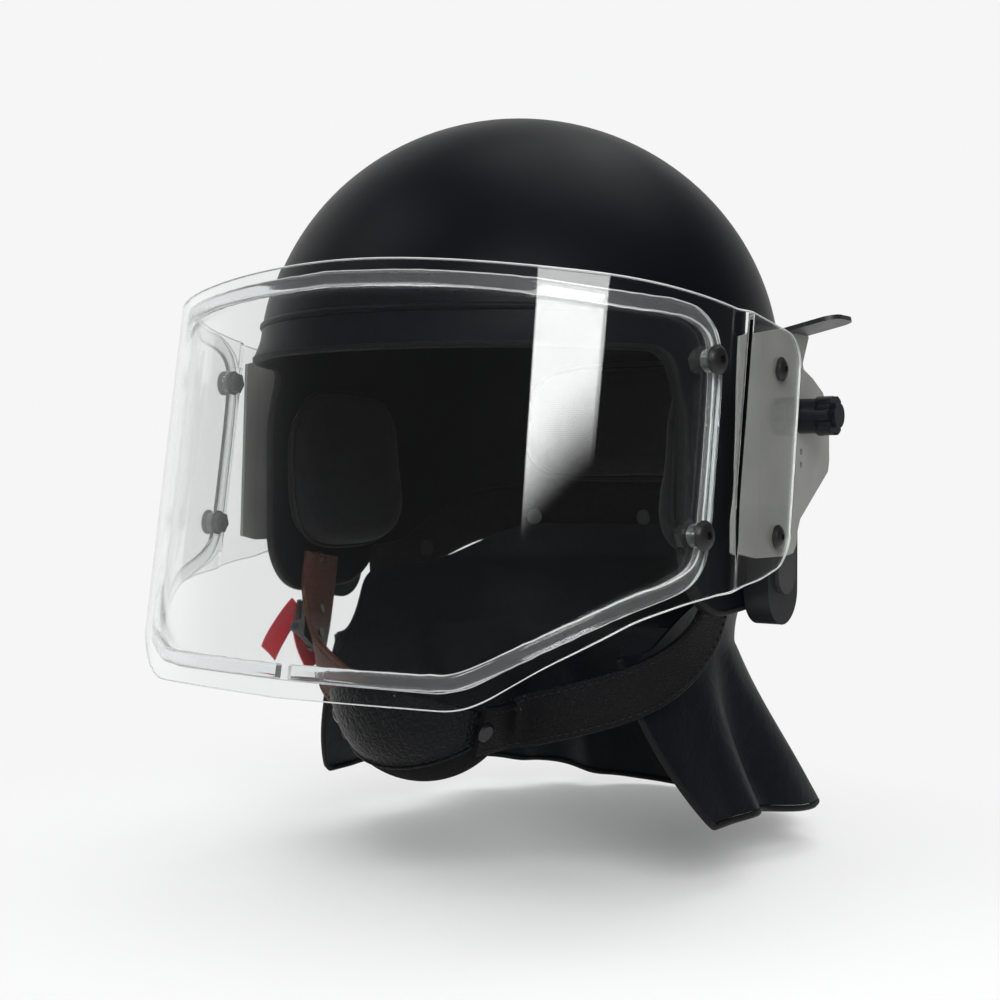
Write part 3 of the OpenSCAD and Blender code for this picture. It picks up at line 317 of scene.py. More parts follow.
def moulded(name, color, low, high):
    m = Mat(name, color, low, Specular_IOR_Level=0.22)
    m.rough_from(m.noise(70, 3), low, high)
    m.bump(m.noise(900, 2), 0.1, 0.0003)
    m.vary_color(m.noise(25, 4), color, 0.85, 1.2)
    return m.m


def coated_steel(name, color):
    m = Mat(name, color, 0.42, metallic=0.35)
    m.rough_from(m.noise(120, 5, 0.6), 0.34, 0.5)
    m.vary_color(m.noise(40, 4), color, 0.8, 1.25)
    m.bump(m.noise(1600, 3), 0.1, 0.0002)
    return m.m


def bare_steel(name, grey):
    m = Mat(name, (grey, grey, grey * 1.02), 0.3, metallic=1.0)
    m.rough_from(m.noise(300, 4), 0.24, 0.44)
    m.vary_color(m.noise(90, 4), (grey, grey, grey), 0.8, 1.2)
    brushed = m.new("Mapping")
    brushed.inputs["Scale"].default_value = (1, 1, 12)
    m.link(m.co, brushed.inputs["Vector"])
    m.bump(m.noise(900, 2, vector=brushed.outputs[0]), 0.08, 0.0002)
    return m.m


def two_sided_steel():
    """Rivet heads: dark nickel on the left, bare on the buckle's side."""
    m = Mat("rivet_steel", (0.2, 0.2, 0.21), 0.32, metallic=1.0)
    across = fed(m.tree, m.new("SeparateXYZ"), m.co)
    m.blend_color(m.math("LESS_THAN", across, 0.0), (0.045, 0.045, 0.048), (0.4, 0.4, 0.4))
    m.rough_from(m.noise(300, 4), 0.26, 0.42)
    return m.m


def clear_plastic(name, color, through, rough, span, grain, ripple, bump, ior=1.45, tint=(0.88, 0.9, 0.9)):
    """Plastic that shadow rays pass with a slight tint; span is the range of its roughness over the grain."""
    m = Mat(name, color, rough, Transmission_Weight=through, IOR=ior)
    m.rough_from(m.noise(*grain), *span)
    m.bump(m.noise(*ripple), *bump)
    passing = fed(m.tree, m.new("BsdfTransparent"), (*tint, 1))
    shadow = m.new("LightPath").outputs["Is Shadow Ray"]
    end_with(m.tree, m.tree.nodes["Material Output"], shadow, m.shader.outputs[0], passing)
    return m.m


def leather(name, color, grain, rough, depth=0.0007):
    m = Mat(name, color, rough, Specular_IOR_Level=0.12)
    wander = m.noise(grain * 0.6, 3)
    ridge = m.spread(m.cells(grain, "DISTANCE_TO_EDGE"), 0, 1, 0, 0.25)
    m.rough_from(wander, rough - 0.08, rough + 0.12)
    m.vary_color(m.math("MULTIPLY", ridge, wander), color, 0.6, 1.5)
    m.bump(ridge, 0.55, depth)
    m.bump(m.noise(1500, 3), 0.15, 0.0003)
    return m.m


def fuzzy(name, color, sheen, scale):
    m = Mat(name, color, 0.95, Sheen_Weight=sheen, Sheen_Roughness=0.35, Specular_IOR_Level=0.05)
    m.vary_color(m.noise(scale * 0.2, 5, 0.7), color, 0.6, 1.7)
    m.bump(m.noise(scale, 6, 0.75), 0.9, 0.0012)
    return m.m


def red_ribbon():
    m = Mat("red_ribbon", (0.55, 0.012, 0.025), 0.6, Sheen_Weight=0.25, Sheen_Roughness=0.4)
    weave = m.math("ADD", m.wave(420, "Z"), m.wave(420, "Y"))
    m.blend_color(m.math("MULTIPLY", weave, 0.5), (0.36, 0.006, 0.014), (0.68, 0.02, 0.035))
    m.bump(weave, 0.4, 0.0004)
    return m.m


def cape_cloth():
    m = Mat("cape_cloth", (0.003, 0.004, 0.006), 0.44, Sheen_Weight=0.01, Sheen_Roughness=0.4,
            Specular_IOR_Level=0.1)
    m.rough_from(m.noise(55, 5, 0.6), 0.36, 0.54)
    m.blend_color(m.noise(20, 3), (0.0022, 0.003, 0.0048), (0.004, 0.0052, 0.0078))
    m.bump(m.math("MULTIPLY", m.wave(560, "X"), m.wave(560, "Z")), 0.18, 0.0003)
    m.bump(m.noise(85, 5, 0.6, distort=0.6), 0.25, 0.0025)
    return m.m


def plain_thread(name, color):
    m = Mat(name, color, 0.6, Specular_IOR_Level=0.2)
    m.bump(m.wave(1500, "DIAGONAL"), 0.3, 0.0002)
    return m.m


PAINT = shell_paint()
RUBBER = rubber()
FOAM = foam()
CUSHION = cushion_cloth()
BASE_PLASTIC = moulded("base_plastic", (0.009, 0.0095, 0.011), 0.34, 0.46)
KNOB_PLASTIC = moulded("knob_plastic", (0.0045, 0.0055, 0.0075), 0.28, 0.4)
PLATE_STEEL = coated_steel("plate_steel", (0.035, 0.035, 0.037))
BRACKET_STEEL = coated_steel("bracket_steel", (0.265, 0.265, 0.25))
# Near-black coat of the lift tab: painted shade for the shade on its underside
TAB_PAINTED_SHADE = coated_steel("tab_painted_shade", (0.019, 0.02, 0.021))
SCREW_STEEL = coated_steel("screw_steel", (0.01, 0.01, 0.011))
BARE_STEEL = bare_steel("bare_steel", 0.42)
NICKEL = bare_steel("dark_nickel", 0.1)
RIVET = two_sided_steel()
PANE = clear_plastic("clear_pane", (0.985, 0.992, 0.99), through=1.0, rough=0.012, span=(0.0, 0.03),
                     grain=(14, 5, 0.65), ripple=(7, 2), bump=(0.05, 0.002), ior=1.5, tint=(0.95, 0.96, 0.96))
GASKET = clear_plastic("clear_gasket", (0.93, 0.95, 0.95), through=0.97, rough=0.08, span=(0.02, 0.12),
                       grain=(260, 4), ripple=(300, 4, 0.6), bump=(0.1, 0.0006), ior=1.4)
# The edges of the clear parts are frosted and catch the light
FROST = {"grain": (400, 4), "ripple": (900, 3), "bump": (0.15, 0.0003)}
PANE_EDGE = clear_plastic("pane_edge", (0.8, 0.82, 0.81), through=0.4, rough=0.35, span=(0.25, 0.5), **FROST)
BEAD_EDGE = clear_plastic("bead_edge", (0.62, 0.64, 0.63), through=0.35, rough=0.4, span=(0.3, 0.55), **FROST)
CUP_LEATHER = leather("cup_leather", (0.0035, 0.0038, 0.0048), 330, 0.4)
STRAP_LEATHER = leather("strap_leather", (0.003, 0.003, 0.0038), 700, 0.5, 0.0004)
BROWN_LEATHER = leather("brown_leather", (0.085, 0.036, 0.024), 600, 0.48, 0.0004)
VELVET = fuzzy("lining_velvet", (0.003, 0.003, 0.0036), 0.03, 1500)
FLEECE = fuzzy("band_fleece", (0.0035, 0.0035, 0.004), 0.05, 900)
RIBBON = red_ribbon()
CAPE = cape_cloth()
PIPING = plain_thread("cape_piping", (0.003, 0.003, 0.0036))
THREAD = plain_thread("black_thread", (0.009, 0.009, 0.01))

# Mesh helpers


def piece(name, verts, faces, paint, slot, stands_for=(), sharp=None, body="helmet"):
    """A visible piece in millimetres: it rides on a body and stands for the named CAD nodes."""
    mesh = bpy.data.meshes.new(name)
    mesh.from_pydata([tuple(v) for v in np.asarray(verts) * MM], [], [tuple(f) for f in faces])
    mesh.validate()
    work = bmesh.new()
    work.from_mesh(mesh)
    bmesh.ops.recalc_face_normals(work, faces=work.faces)
    work.to_mesh(mesh)
    work.free()
    obj = add(name, mesh)
    mesh.materials.append(paint)
    smooth_all(mesh, sharp)
    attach(obj, body)
    if stands_for:
        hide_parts(*stands_for)
    return obj


def second_paint(obj, paint, where):
    """Gives the marked faces of a piece a second material."""
    obj.data.materials.append(paint)
    obj.data.polygons.foreach_set("material_index", [int(k) for k in where])


def smooth_all(mesh, sharp=None):
    """Shades a mesh smooth, apart from edges that turn more than the sharp angle."""
    mesh.polygons.foreach_set("use_smooth", [True] * len(mesh.polygons))
    if sharp is not None:
        mesh.set_sharp_from_angle(angle=radians(sharp))


def strip_faces(m, n, loop_m=False, loop_n=True, base=0):
    """Quads of an m by n grid of points, closed over either way."""
    faces = []
    for i in range(m if loop_m else m - 1):
        a, b = base + i * n, base + (i + 1) % m * n
        for j in range(n if loop_n else n - 1):
            k = (j + 1) % n
            faces.append((a + j, a + k, b + k, b + j))
    return faces


def joining_faces(n, base):
    """Quads between the first ring of one skin and that of the skin which starts at base."""
    return [(j, (j + 1) % n, base + (j + 1) % n, base + j) for j in range(n)]


def loft(rings, closed_path=False):
    """Points and faces of rings joined in order."""
    rings = np.asarray(rings, float)
    m, n = rings.shape[:2]
    faces = strip_faces(m, n, loop_m=closed_path)
    if not closed_path:
        faces += [tuple(range(n)), tuple((m - 1) * n + j for j in reversed(range(n)))]
    return rings.reshape(-1, 3), faces


def unit(v):
    v = np.asarray(v, float)
    return v / np.maximum(np.linalg.norm(v, axis=-1, keepdims=True), 1e-12)


def floats(*values):
    """The values as arrays of one shape."""
    return np.broadcast_arrays(*[np.asarray(v, float) for v in values])


def ease(t):
    """Goes smoothly from 0 to 1 with t."""
    c = np.clip(t, 0, 1)
    return c * c * (3 - 2 * c)


def cut_corners(p, times=4):
    """Rounds a path by cutting its corners some times."""
    p = np.asarray(p, float)
    for _ in range(times):
        a = p[:-1] * 0.75 + p[1:] * 0.25
        b = p[:-1] * 0.25 + p[1:] * 0.75
        p = np.concatenate([p[:1], np.stack([a, b], 1).reshape(-1, p.shape[1]), p[-1:]])
    return p


def lengths(p):
    """The length of a path up to each of its points."""
    return np.concatenate([[0], np.cumsum(np.linalg.norm(np.diff(p, axis=0), axis=1))])


def mirrored(p):
    """The mirror image of points, in reverse order."""
    other = p[::-1].copy()
    other[..., 0] *= -1
    return other


def sampled(want, s, p):
    """Points at the wanted lengths of a path whose points lie at the lengths s."""
    return np.stack([np.interp(want, s, column) for column in p.T], 1)


def spaced(p, count):
    """Points at equal steps along a path."""
    s = lengths(p)
    return sampled(np.linspace(0, s[-1], count), s, p)


def path_dirs(p, closed=False):
    """The direction of a path at each of its points."""
    if closed:
        return unit(np.roll(p, -1, 0) - np.roll(p, 1, 0))
    d = np.empty_like(p)
    d[1:-1] = p[2:] - p[:-2]
    d[0], d[-1] = p[1] - p[0], p[-1] - p[-2]
    return unit(d)


def cord(mid, side, out, radius, sides):
    """Rings of a round cord about a line; side and out are the directions of its section."""
    c = circle(sides)
    return mid[:, None] + radius * (side[:, None] * c[:, :1] + out[:, None] * c[:, 1:])


def tube(name, path, radius, paint, slot, stands_for=(), sides=10, closed=False, up=(0, 0, 1)):
    t = path_dirs(path, closed)
    side = unit(np.cross(t, up))
    rings = cord(path, side, np.cross(side, t), radius, sides)
    piece(name, *loft(rings, closed_path=closed), paint, slot, stands_for)


STITCH_R = 0.32
STITCH_LIFT = np.array([-0.25, 0.12, 0.22, 0.12, -0.25])
STITCH_SWELL = STITCH_R * np.array([0.6, 0.95, 1, 0.95, 0.6])


def stitches(name, path, outward, slot, length=2.4, gap=1.3):
    """Short raised threads along a path on a surface."""
    s = lengths(path)
    verts, faces = [], []
    at = gap
    while at + length < s[-1]:
        ks = np.linspace(at, at + length, 5)
        mid, out = sampled(ks, s, path), unit(sampled(ks, s, outward))
        side = unit(np.cross(path_dirs(mid), out))
        v, f = loft(cord(mid + out * STITCH_LIFT[:, None], side, out, STITCH_SWELL[:, None, None], 6))
        base = sum(len(other) for other in verts)
        faces += [tuple(base + i for i in q) for q in f]
        verts.append(v)
        at += length + gap
    piece(name, np.concatenate(verts), faces, THREAD, slot)


# Helmet surface, as in the part's source

HALF_W, HALF_L, DOME_H, DOME_Z, DOME_FRONT = 124.0, 139.5, 124.5, 25.0, 5.0
WALL, FLARE, FLARE_H, BROW_Z = 4.0, 2.5, 35, 29.0
LOBE_FRONT, LOBE_DROP, NAPE_DROP, LOBE_R, BROW_R = 62.0, 87.0, 62.0, 30.0, 10.0


def signed_pow(v, p):
    return np.sign(v) * np.abs(v) ** p


def wall_power(z, rear):
    """How square the shell's outline is at height z."""
    return 2 + np.where(rear, 0.2, 0.9) * ease((DOME_Z + 15 - z) / 45)


def half_width(z):
    return HALF_W + FLARE * ease((DOME_Z - z) / FLARE_H)


def ring_points(a, z, half_w, grow, d):
    """Points at ring angle a (radians) of an outline that shrinks by the factor grow."""
    n = wall_power(z, np.cos(a) < 0)
    x = (half_w - d) * grow * signed_pow(np.sin(a), 2 / n)
    return np.stack([x, -DOME_FRONT - (HALF_L - d) * grow * signed_pow(np.cos(a), 2 / n), z], -1)


def surface(u, z, d=0.0):
    """Points of the shell at ring angle u (degrees, 0 in front), height z and depth d."""
    u, z = floats(u, z)
    e = np.arcsin(np.clip((z - DOME_Z) / (DOME_H - d), 0, 1))
    return ring_points(np.radians(u), z, half_width(z), np.cos(e), d)


def dome(u, e, d=0.0):
    """Points of the dome at ring angle u, elevation e (degrees) and depth d."""
    u, e = np.radians(floats(u, e))
    return ring_points(u, DOME_Z + (DOME_H - d) * np.sin(e), HALF_W, np.cos(e), d)


def side_x(y, z, d=0.0):
    """Half the shell's width at the place (y, z), at depth d."""
    y, z = floats(y, z)
    n = wall_power(z, y > -DOME_FRONT)
    along = np.minimum(1, np.abs(y + DOME_FRONT) / (HALF_L - d))
    return (half_width(z) - d) * (1 - along**n) ** (1 / n)


def angle_at(y, z, d=0.0):
    """Ring angle of the place (y, z) on a side."""
    c = -(y + DOME_FRONT) / (HALF_L - d)
    n = wall_power(z, c < 0)
    return np.degrees(np.arccos(np.clip(signed_pow(c, n / 2), -1, 1)))


def arc(cy, cz, r, a0, a1, n):
    """An arc from angle a0 to a1, in n steps."""
    a = np.radians(np.linspace(a0, a1, n + 1))
    return np.stack([cy + r * np.cos(a), cz + r * np.sin(a)], 1)


# Places (y, z) on the edge of an ear lobe, from the brow to the nape
LOBE_RIM = np.concatenate([
    arc(-LOBE_FRONT - BROW_R, BROW_Z - BROW_R, BROW_R, 90, 0, 8),
    arc(-LOBE_FRONT + LOBE_R, -LOBE_DROP + LOBE_R, LOBE_R, 180, 270, 20),
    arc(-12, -LOBE_DROP + 34, 34, 290, 325, 8),
])
REAR_Y = [LOBE_RIM[-1, 0], 62, 100, HALF_L - DOME_FRONT]
REAR_Z = [LOBE_RIM[-1, 1], -NAPE_DROP - 4, -NAPE_DROP, -NAPE_DROP]


def half_rim(d=0.0, count=170):
    """Ring angles and heights of the rim from the front to the back, at depth d."""
    front = [surface(u, BROW_Z)[1] for u in np.arange(0, 62, 2.0)]
    front = [(y, BROW_Z) for y in front if y < LOBE_RIM[0, 0] - 2]
    back = [surface(u, -NAPE_DROP)[1] for u in np.arange(90, 180.1, 2.0)]
    rear = [(y, np.interp(y, REAR_Y, REAR_Z)) for y in back if y > REAR_Y[0] + 3]
    yz = np.array(front + list(LOBE_RIM) + rear)
    s = lengths(surface(angle_at(yz[:, 0], yz[:, 1]), yz[:, 1]))
    want = np.linspace(0, s[-1], count)
    y, z = sampled(want, s, yz).T
    u0 = angle_at(y, z)
    u0[0], u0[-1] = 0, 180
    # The lobe's edge follows the depth d, the brow and the nape keep their ring angles
    k = np.searchsorted(s, want, side="right") - 1 - len(front)
    on_lobe = (k >= 0) & (k < len(LOBE_RIM))
    return np.where(on_lobe, angle_at(y, z, d), u0), z


def full_loop(half):
    """A half ring of points, with its mirror image, as one closed ring."""
    return np.concatenate([half, mirrored(half[1:-1])])


# Height at which the rings that follow the rim have become level
RING_Z = 62.0


def shell_grid(d):
    """Rings of the shell at depth d, from the rim up to the crown."""
    u0, z0 = half_rim(d)
    u1 = 180 * (0.55 * np.linspace(0, 1, len(u0)) + 0.45 * u0 / 180)
    rows = []
    for t in np.linspace(0, 1, 46) ** 1.25:
        k = ease(t)
        rows.append(full_loop(surface(u0 * (1 - k) + u1 * k, z0 * (1 - t) + RING_Z * t, d)))
    e0 = degrees(asin((RING_Z - DOME_Z) / (DOME_H - d)))
    for e in np.linspace(e0, 90, 34)[1:-1]:
        rows.append(full_loop(dome(u1, e, d)))
    return np.array(rows)


def make_shell():
    """The shell: an outer and an inner skin, joined along the rim and closed at the crown."""
    outer, inner = shell_grid(0.0), shell_grid(WALL)
    m, n = outer.shape[:2]
    b = m * n
    poles = [[0, -DOME_FRONT, DOME_Z + DOME_H - d] for d in (0, WALL)]
    verts = np.concatenate([outer.reshape(-1, 3), inner.reshape(-1, 3), poles])
    faces = strip_faces(m, n) + strip_faces(m, n, base=b) + joining_faces(n, b)
    for last, pole in ((b - n, 2 * b), (2 * b - n, 2 * b + 1)):
        faces += [(last + j, last + (j + 1) % n, pole) for j in range(n)]
    piece("helmet_shell", verts, faces, PAINT, "shell_gloss", ("shell",), sharp=50)


make_shell()


TRIM_H, TRIM_OVER, TRIM_SEAT = 2.6, 0.5, 0.1


def make_trim():
    """The rolled edging: a section swept round the rim."""

    def rim(d):
        return full_loop(surface(*half_rim(d), d))

    line = rim(0.0)
    t = path_dirs(line, closed=True)
    out = np.stack([line[:, 0] / HALF_W**2, (line[:, 1] + DOME_FRONT) / HALF_L**2, 0 * line[:, 0]], 1)
    down = unit(np.cross(t, out))
    half = [(TRIM_OVER, TRIM_SEAT), (TRIM_OVER, TRIM_H * 0.62), (TRIM_OVER - 0.6, TRIM_H * 0.9)]
    half.append((0.7 - WALL / 2, TRIM_H))
    section = [(-k, q) for k, q in half] + [(WALL + k, q) for k, q in half[::-1]]
    rings = np.stack([rim(d) + down * k for d, k in section], 1)
    piece("rim_bead", *loft(rings, closed_path=True), RUBBER, "trim_rubber", ("edge_trim",), sharp=60)


make_trim()


LINE_END, LINE_RISE, LINE_UP = 62.0, 1.2, 15


def make_brow_line():
    """The raised line over the brow, which runs out at both ends."""
    u = np.linspace(-LINE_END, LINE_END, 161)
    e = degrees(asin((BROW_Z + LINE_UP - DOME_Z) / DOME_H))
    t = LINE_RISE * ease((LINE_END - np.abs(u)) / 8) + 0.1
    rings = []
    half = [(-1.6, 0.02), (-1.25, -0.55), (-0.8, -0.9), (0, -1.0)]
    for k, q in half + [(-k, q) for k, q in half[-2::-1]]:
        depth = np.where(q < 0, q * t, -0.02)
        rings.append(np.stack([dome(a, e + k / 2.1, b) for a, b in zip(u, depth)]))
    piece("brow_ridge", *loft(np.stack(rings, 1)), PAINT, "shell_gloss", ("brow_line",))


make_brow_line()

# Liner and cushions

LINER_D = WALL + 0.6
LINER_IN = LINER_D + 16
LINER_LOW, LINER_TOP, GROOVE = 12, 88, 1.6


def make_liner():
    """The foam liner: two domes joined at the foot, the inner one with eight grooves."""
    n, outer_rows, inner_rows = 128, 36, 48
    u = np.arange(n) * 360 / n
    outer = [dome(u, e, LINER_D) for e in np.linspace(LINER_LOW, LINER_TOP, outer_rows)]
    inner = []
    for e in np.linspace(LINER_LOW, LINER_TOP, inner_rows):
        face = dome(u, e, LINER_IN)
        groove = GROOVE * np.exp(-(((u + 22.5) % 45 - 22.5) / 2.2) ** 2) * ease((80 - e) / 10)
        inner.append(face + unit(dome(u, e, LINER_IN - 5) - face) * groove[:, None])
    verts = np.concatenate(outer + inner)
    b = outer_rows * n
    faces = strip_faces(outer_rows, n) + strip_faces(inner_rows, n, base=b) + joining_faces(n, b)
    faces.append(tuple(b - n + j for j in range(n)))
    faces.append(tuple(len(verts) - n + j for j in range(n)))
    obj = piece("impact_liner", verts, faces, FOAM, "liner_foam", ("liner_foam",), sharp=50)


make_liner()

OUTLINE_STEPS = 112
# Rings of a cushion: share of its outline and share of its thickness
STEPS = [(0.25, 0), (0.5, 0), (0.75, 0), (0.9, 0), (0.96, 0.04), (1.0, 0.2), (1.02, 0.36)]
STEPS += [(1.01, 0.55), (0.97, 0.72), (0.9, 0.86), (0.78, 0.95), (0.6, 0.99), (0.4, 1.0), (0.2, 1.0)]


def inflate(obj, frames=16, pressure=3.0, cap=2.2, voxel=3.4):
    """Swells a closed cushion with a short cloth simulation, and keeps every point near where it was."""
    remesh = obj.modifiers.new("remesh", "REMESH")
    remesh.mode = "VOXEL"
    remesh.voxel_size = voxel * MM
    apply_modifier(obj, remesh)
    start = np.array([v.co for v in obj.data.vertices])
    cloth = obj.modifiers.new("cloth", "CLOTH")
    s = cloth.settings
    s.use_pressure = True
    s.uniform_pressure_force = pressure
    s.quality = 6
    s.mass = 0.25
    s.tension_stiffness = s.compression_stiffness = 12
    s.bending_stiffness = 0.6
    s.effector_weights.gravity = 0
    cloth.point_cache.frame_start = 1
    cloth.point_cache.frame_end = frames
    for f in range(1, frames + 1):
        scene.frame_set(f)
    deps = bpy.context.evaluated_depsgraph_get()
    step = np.array([v.co for v in obj.evaluated_get(deps).data.vertices]) - start
    obj.modifiers.remove(cloth)
    scene.frame_set(1)
    size = np.linalg.norm(step, axis=1, keepdims=True)
    step *= np.minimum(1, cap * MM / np.maximum(size, 1e-9))
    obj.data.vertices.foreach_set("co", (start + step).ravel())
    sub = obj.modifiers.new("sub", "SUBSURF")
    sub.levels = sub.render_levels = 1
    apply_modifier(obj, sub)
    smooth_all(obj.data)


def apply_modifier(obj, mod):
    with bpy.context.temp_override(object=obj, active_object=obj, selected_objects=[obj]):
        bpy.ops.object.modifier_apply(modifier=mod.name)


def cushion(name, stands, centre, half, power, thick, put, channel=None):
    """A sewn, rounded cushion: put(points, depth) places it and channel(points) sinks its seams."""
    centre = np.array(centre, float)
    outline = centre + signed_pow(circle(OUTLINE_STEPS), 2 / power) * half

    def place(p, d):
        # One point at a time, because the depth can differ from point to point
        return np.array([put(q[None], e)[0] for q, e in zip(p, np.broadcast_to(d, len(p)))])

    rings = []
    for k, h in STEPS:
        p = centre + (outline - centre) * k
        sink = channel(p) if channel and h > 0.8 else 0
        rings.append(place(p, thick * h - sink))
    rings = np.array(rings)
    m, n = rings.shape[:2]
    verts = np.concatenate([rings.reshape(-1, 3), place(np.array([centre, centre]), (0.0, thick))])
    faces = strip_faces(m, n)
    faces += [(m * n, (j + 1) % n, j) for j in range(n)]
    faces += [(m * n + 1, (m - 1) * n + j, (m - 1) * n + (j + 1) % n) for j in range(n)]
    obj = piece(name, verts, faces, CUSHION, "cushion_cloth", (stands,))
    inflate(obj)
    seam = place(centre + (outline - centre) * 1.035, thick * 0.36)
    facing = unit(rings[-1].mean(0) - rings[0].mean(0))
    tube(name + "_piping", seam, 1.1, THREAD, "cushion_cloth", closed=True, up=facing)


def on_wall(p, d):
    return surface(p[:, 0], p[:, 1], LINER_D + d)


def on_crown(p, d):
    return dome(np.degrees(np.arctan2(p[:, 0], -p[:, 1])), 90 - np.linalg.norm(p, axis=1), LINER_IN + 0.6 + d)


def on_ear(sign):
    def put(p, d):
        cheek = 1 + 0.35 * ease((-10 - p[:, 1]) / 50)
        x = side_x(p[:, 0], p[:, 1], LINER_D) - d * cheek
        return np.stack([sign * x, p[:, 0], p[:, 1]], 1)

    return put


def crown_channels(p):
    a = np.arctan2(p[:, 1], p[:, 0])
    r = np.linalg.norm(p, axis=1)
    return 1.6 * np.exp(-((np.sin(2 * a) * r / 2.2) ** 2)) * ease((r - 2) / 4)


def rear_channels(p):
    return 2.0 * np.exp(-(((np.abs(p[:, 0] - 180) - 13) / 1.5) ** 2))


cushion("crown_cushion", "crown_pad", (0, 0), (26.6, 26.6), 2.4, 9.6, on_crown, channel=crown_channels)
cushion("brow_cushion", "brow_pad", (0, 39), (39.3, 8.2), 5, 14.4, on_wall)
cushion("rear_cushion", "rear_pad", (180, 3), (35.4, 32.3), 4, 19.2, on_wall, channel=rear_channels)
cushion("left_ear_cushion", "left_ear_pad", (-14, -24), (39.2, 40.2), 3.2, 18.4, on_ear(1))
cushion("right_ear_cushion", "right_ear_pad", (-14, -24), (39.2, 40.2), 3.2, 18.4, on_ear(-1))

# Visor

VISOR_W, REACH, START, POWER, TILT = 148.3, 131.6, 33.3, 2.8, radians(9.1)
OUTER_T, INNER_T, BEAD_T, BEAD_W = 3.0, 2.5, 3.5, 6.5
# The outer pane is this much thinner than its solid, so that no two faces lie in one place
AIR = 0.08
TOP_MID, TOP_SIDE, STEP, WING_S, WING_END, WING_R = 39.0, 33.4, 2.7, 203.0, 257.0, 14.0
INNER_D = OUTER_T + BEAD_T
STACK = INNER_D + INNER_T


def plan_table():
    """Arc length, half width and reach along the visor's outline, seen from above."""
    front = 0.8
    side = (1 - front**POWER) ** (1 / POWER)
    c = np.linspace(0, front, 500)
    f = np.linspace(side, 0, 500)
    x = np.concatenate([VISOR_W * c, VISOR_W * (1 - f[1:] ** POWER) ** (1 / POWER), [VISOR_W]])
    y = np.concatenate([START + REACH * (1 - c**POWER) ** (1 / POWER), START + REACH * f[1:], [START - 100]])
    s = np.concatenate([[0], np.cumsum(np.hypot(np.diff(x), np.diff(y)))])
    return s, x, y


PLAN_S, PLAN_X, PLAN_F = plan_table()


def plan(s):
    a = np.abs(s)
    return np.sign(s) * np.interp(a, PLAN_S, PLAN_X), np.interp(a, PLAN_S, PLAN_F)


def visor_at(s, z, d=0.0):
    """Points of the visor at arc length s, height z in its tilted frame and depth d."""
    s, z, d = floats(s, z, d)
    x, f = plan(s)
    x1, f1 = plan(s + 2)
    x0, f0 = plan(s - 2)
    tx, tf = x1 - x0, f1 - f0
    size = np.hypot(tx, tf)
    tx, tf = tx / size, tf / size
    px, pf = x + d * tf, f - d * tx
    return np.stack([px, -pf * cos(TILT) + z * sin(TILT), pf * sin(TILT) + z * cos(TILT)], -1)


def pane_pt(s, z, d=0.0):
    """The same for the outer pane, whose side wings step outwards and lean."""
    a = np.abs(s)
    lean = 0.12 * ease((a - 150) / 45) * (1 - 0.85 * ease((a - 212) / 45))
    s2 = s + np.sign(s) * lean * (TOP_SIDE - z)
    step = (VISOR_W + STEP - np.abs(plan(s2)[0])) * ease((np.abs(s2) - WING_S + 4) / 8)
    return visor_at(s2, z, d - step)


# Edges over the arc length: chin edge of the outer pane, and lower and upper line of the seal
CHIN_EDGE = np.array([[0, -146], [84, -144], [94, -140.5], [118, -124], [155, -102.5], [174, -92.5],
                      [203, -82], [258, -68], [300, -58]])
SEAL_LOW = np.array([[0, -135], [76, -134], [88, -131], [120, -113], [152, -96], [172, -88.5],
                     [185, -81.5], [190.5, -73], [191.4, -60]])
SEAL_TOP = np.array([[0, 31.6], [40, 29.8], [60, 28.6], [78, 27.4], [97, 26.2], [112, 25.2], [140, 24.2],
                     [168, 26.4], [180, 24], [188, 17.5], [191.4, 3]])
SEAL_END = 191.4


def smooth_table(table, s, w):
    s = np.asarray(s, float)
    return sum(np.interp(s + k, table[:, 0], table[:, 1]) for k in (-w, -w / 2, 0, w / 2, w)) / 5


def corner_drop(s):
    t = np.minimum(WING_R, np.maximum(0, np.abs(s) - WING_END + WING_R))
    return WING_R - np.sqrt(WING_R**2 - t * t)


def outer_top(s):
    return TOP_MID - (TOP_MID - TOP_SIDE) * ease(np.abs(s) / 120) - corner_drop(s)


def outer_low(s):
    return smooth_table(CHIN_EDGE, np.abs(s), 5) + corner_drop(s)


def inner_edge(table):
    """Height of the seal's line over the arc length, eased at its corners."""

    def at(s):
        a = np.minimum(np.abs(s), SEAL_END)
        return smooth_table(table, a - np.where(a > 178, (a - 178) * 0.25, 0), 3)

    return at


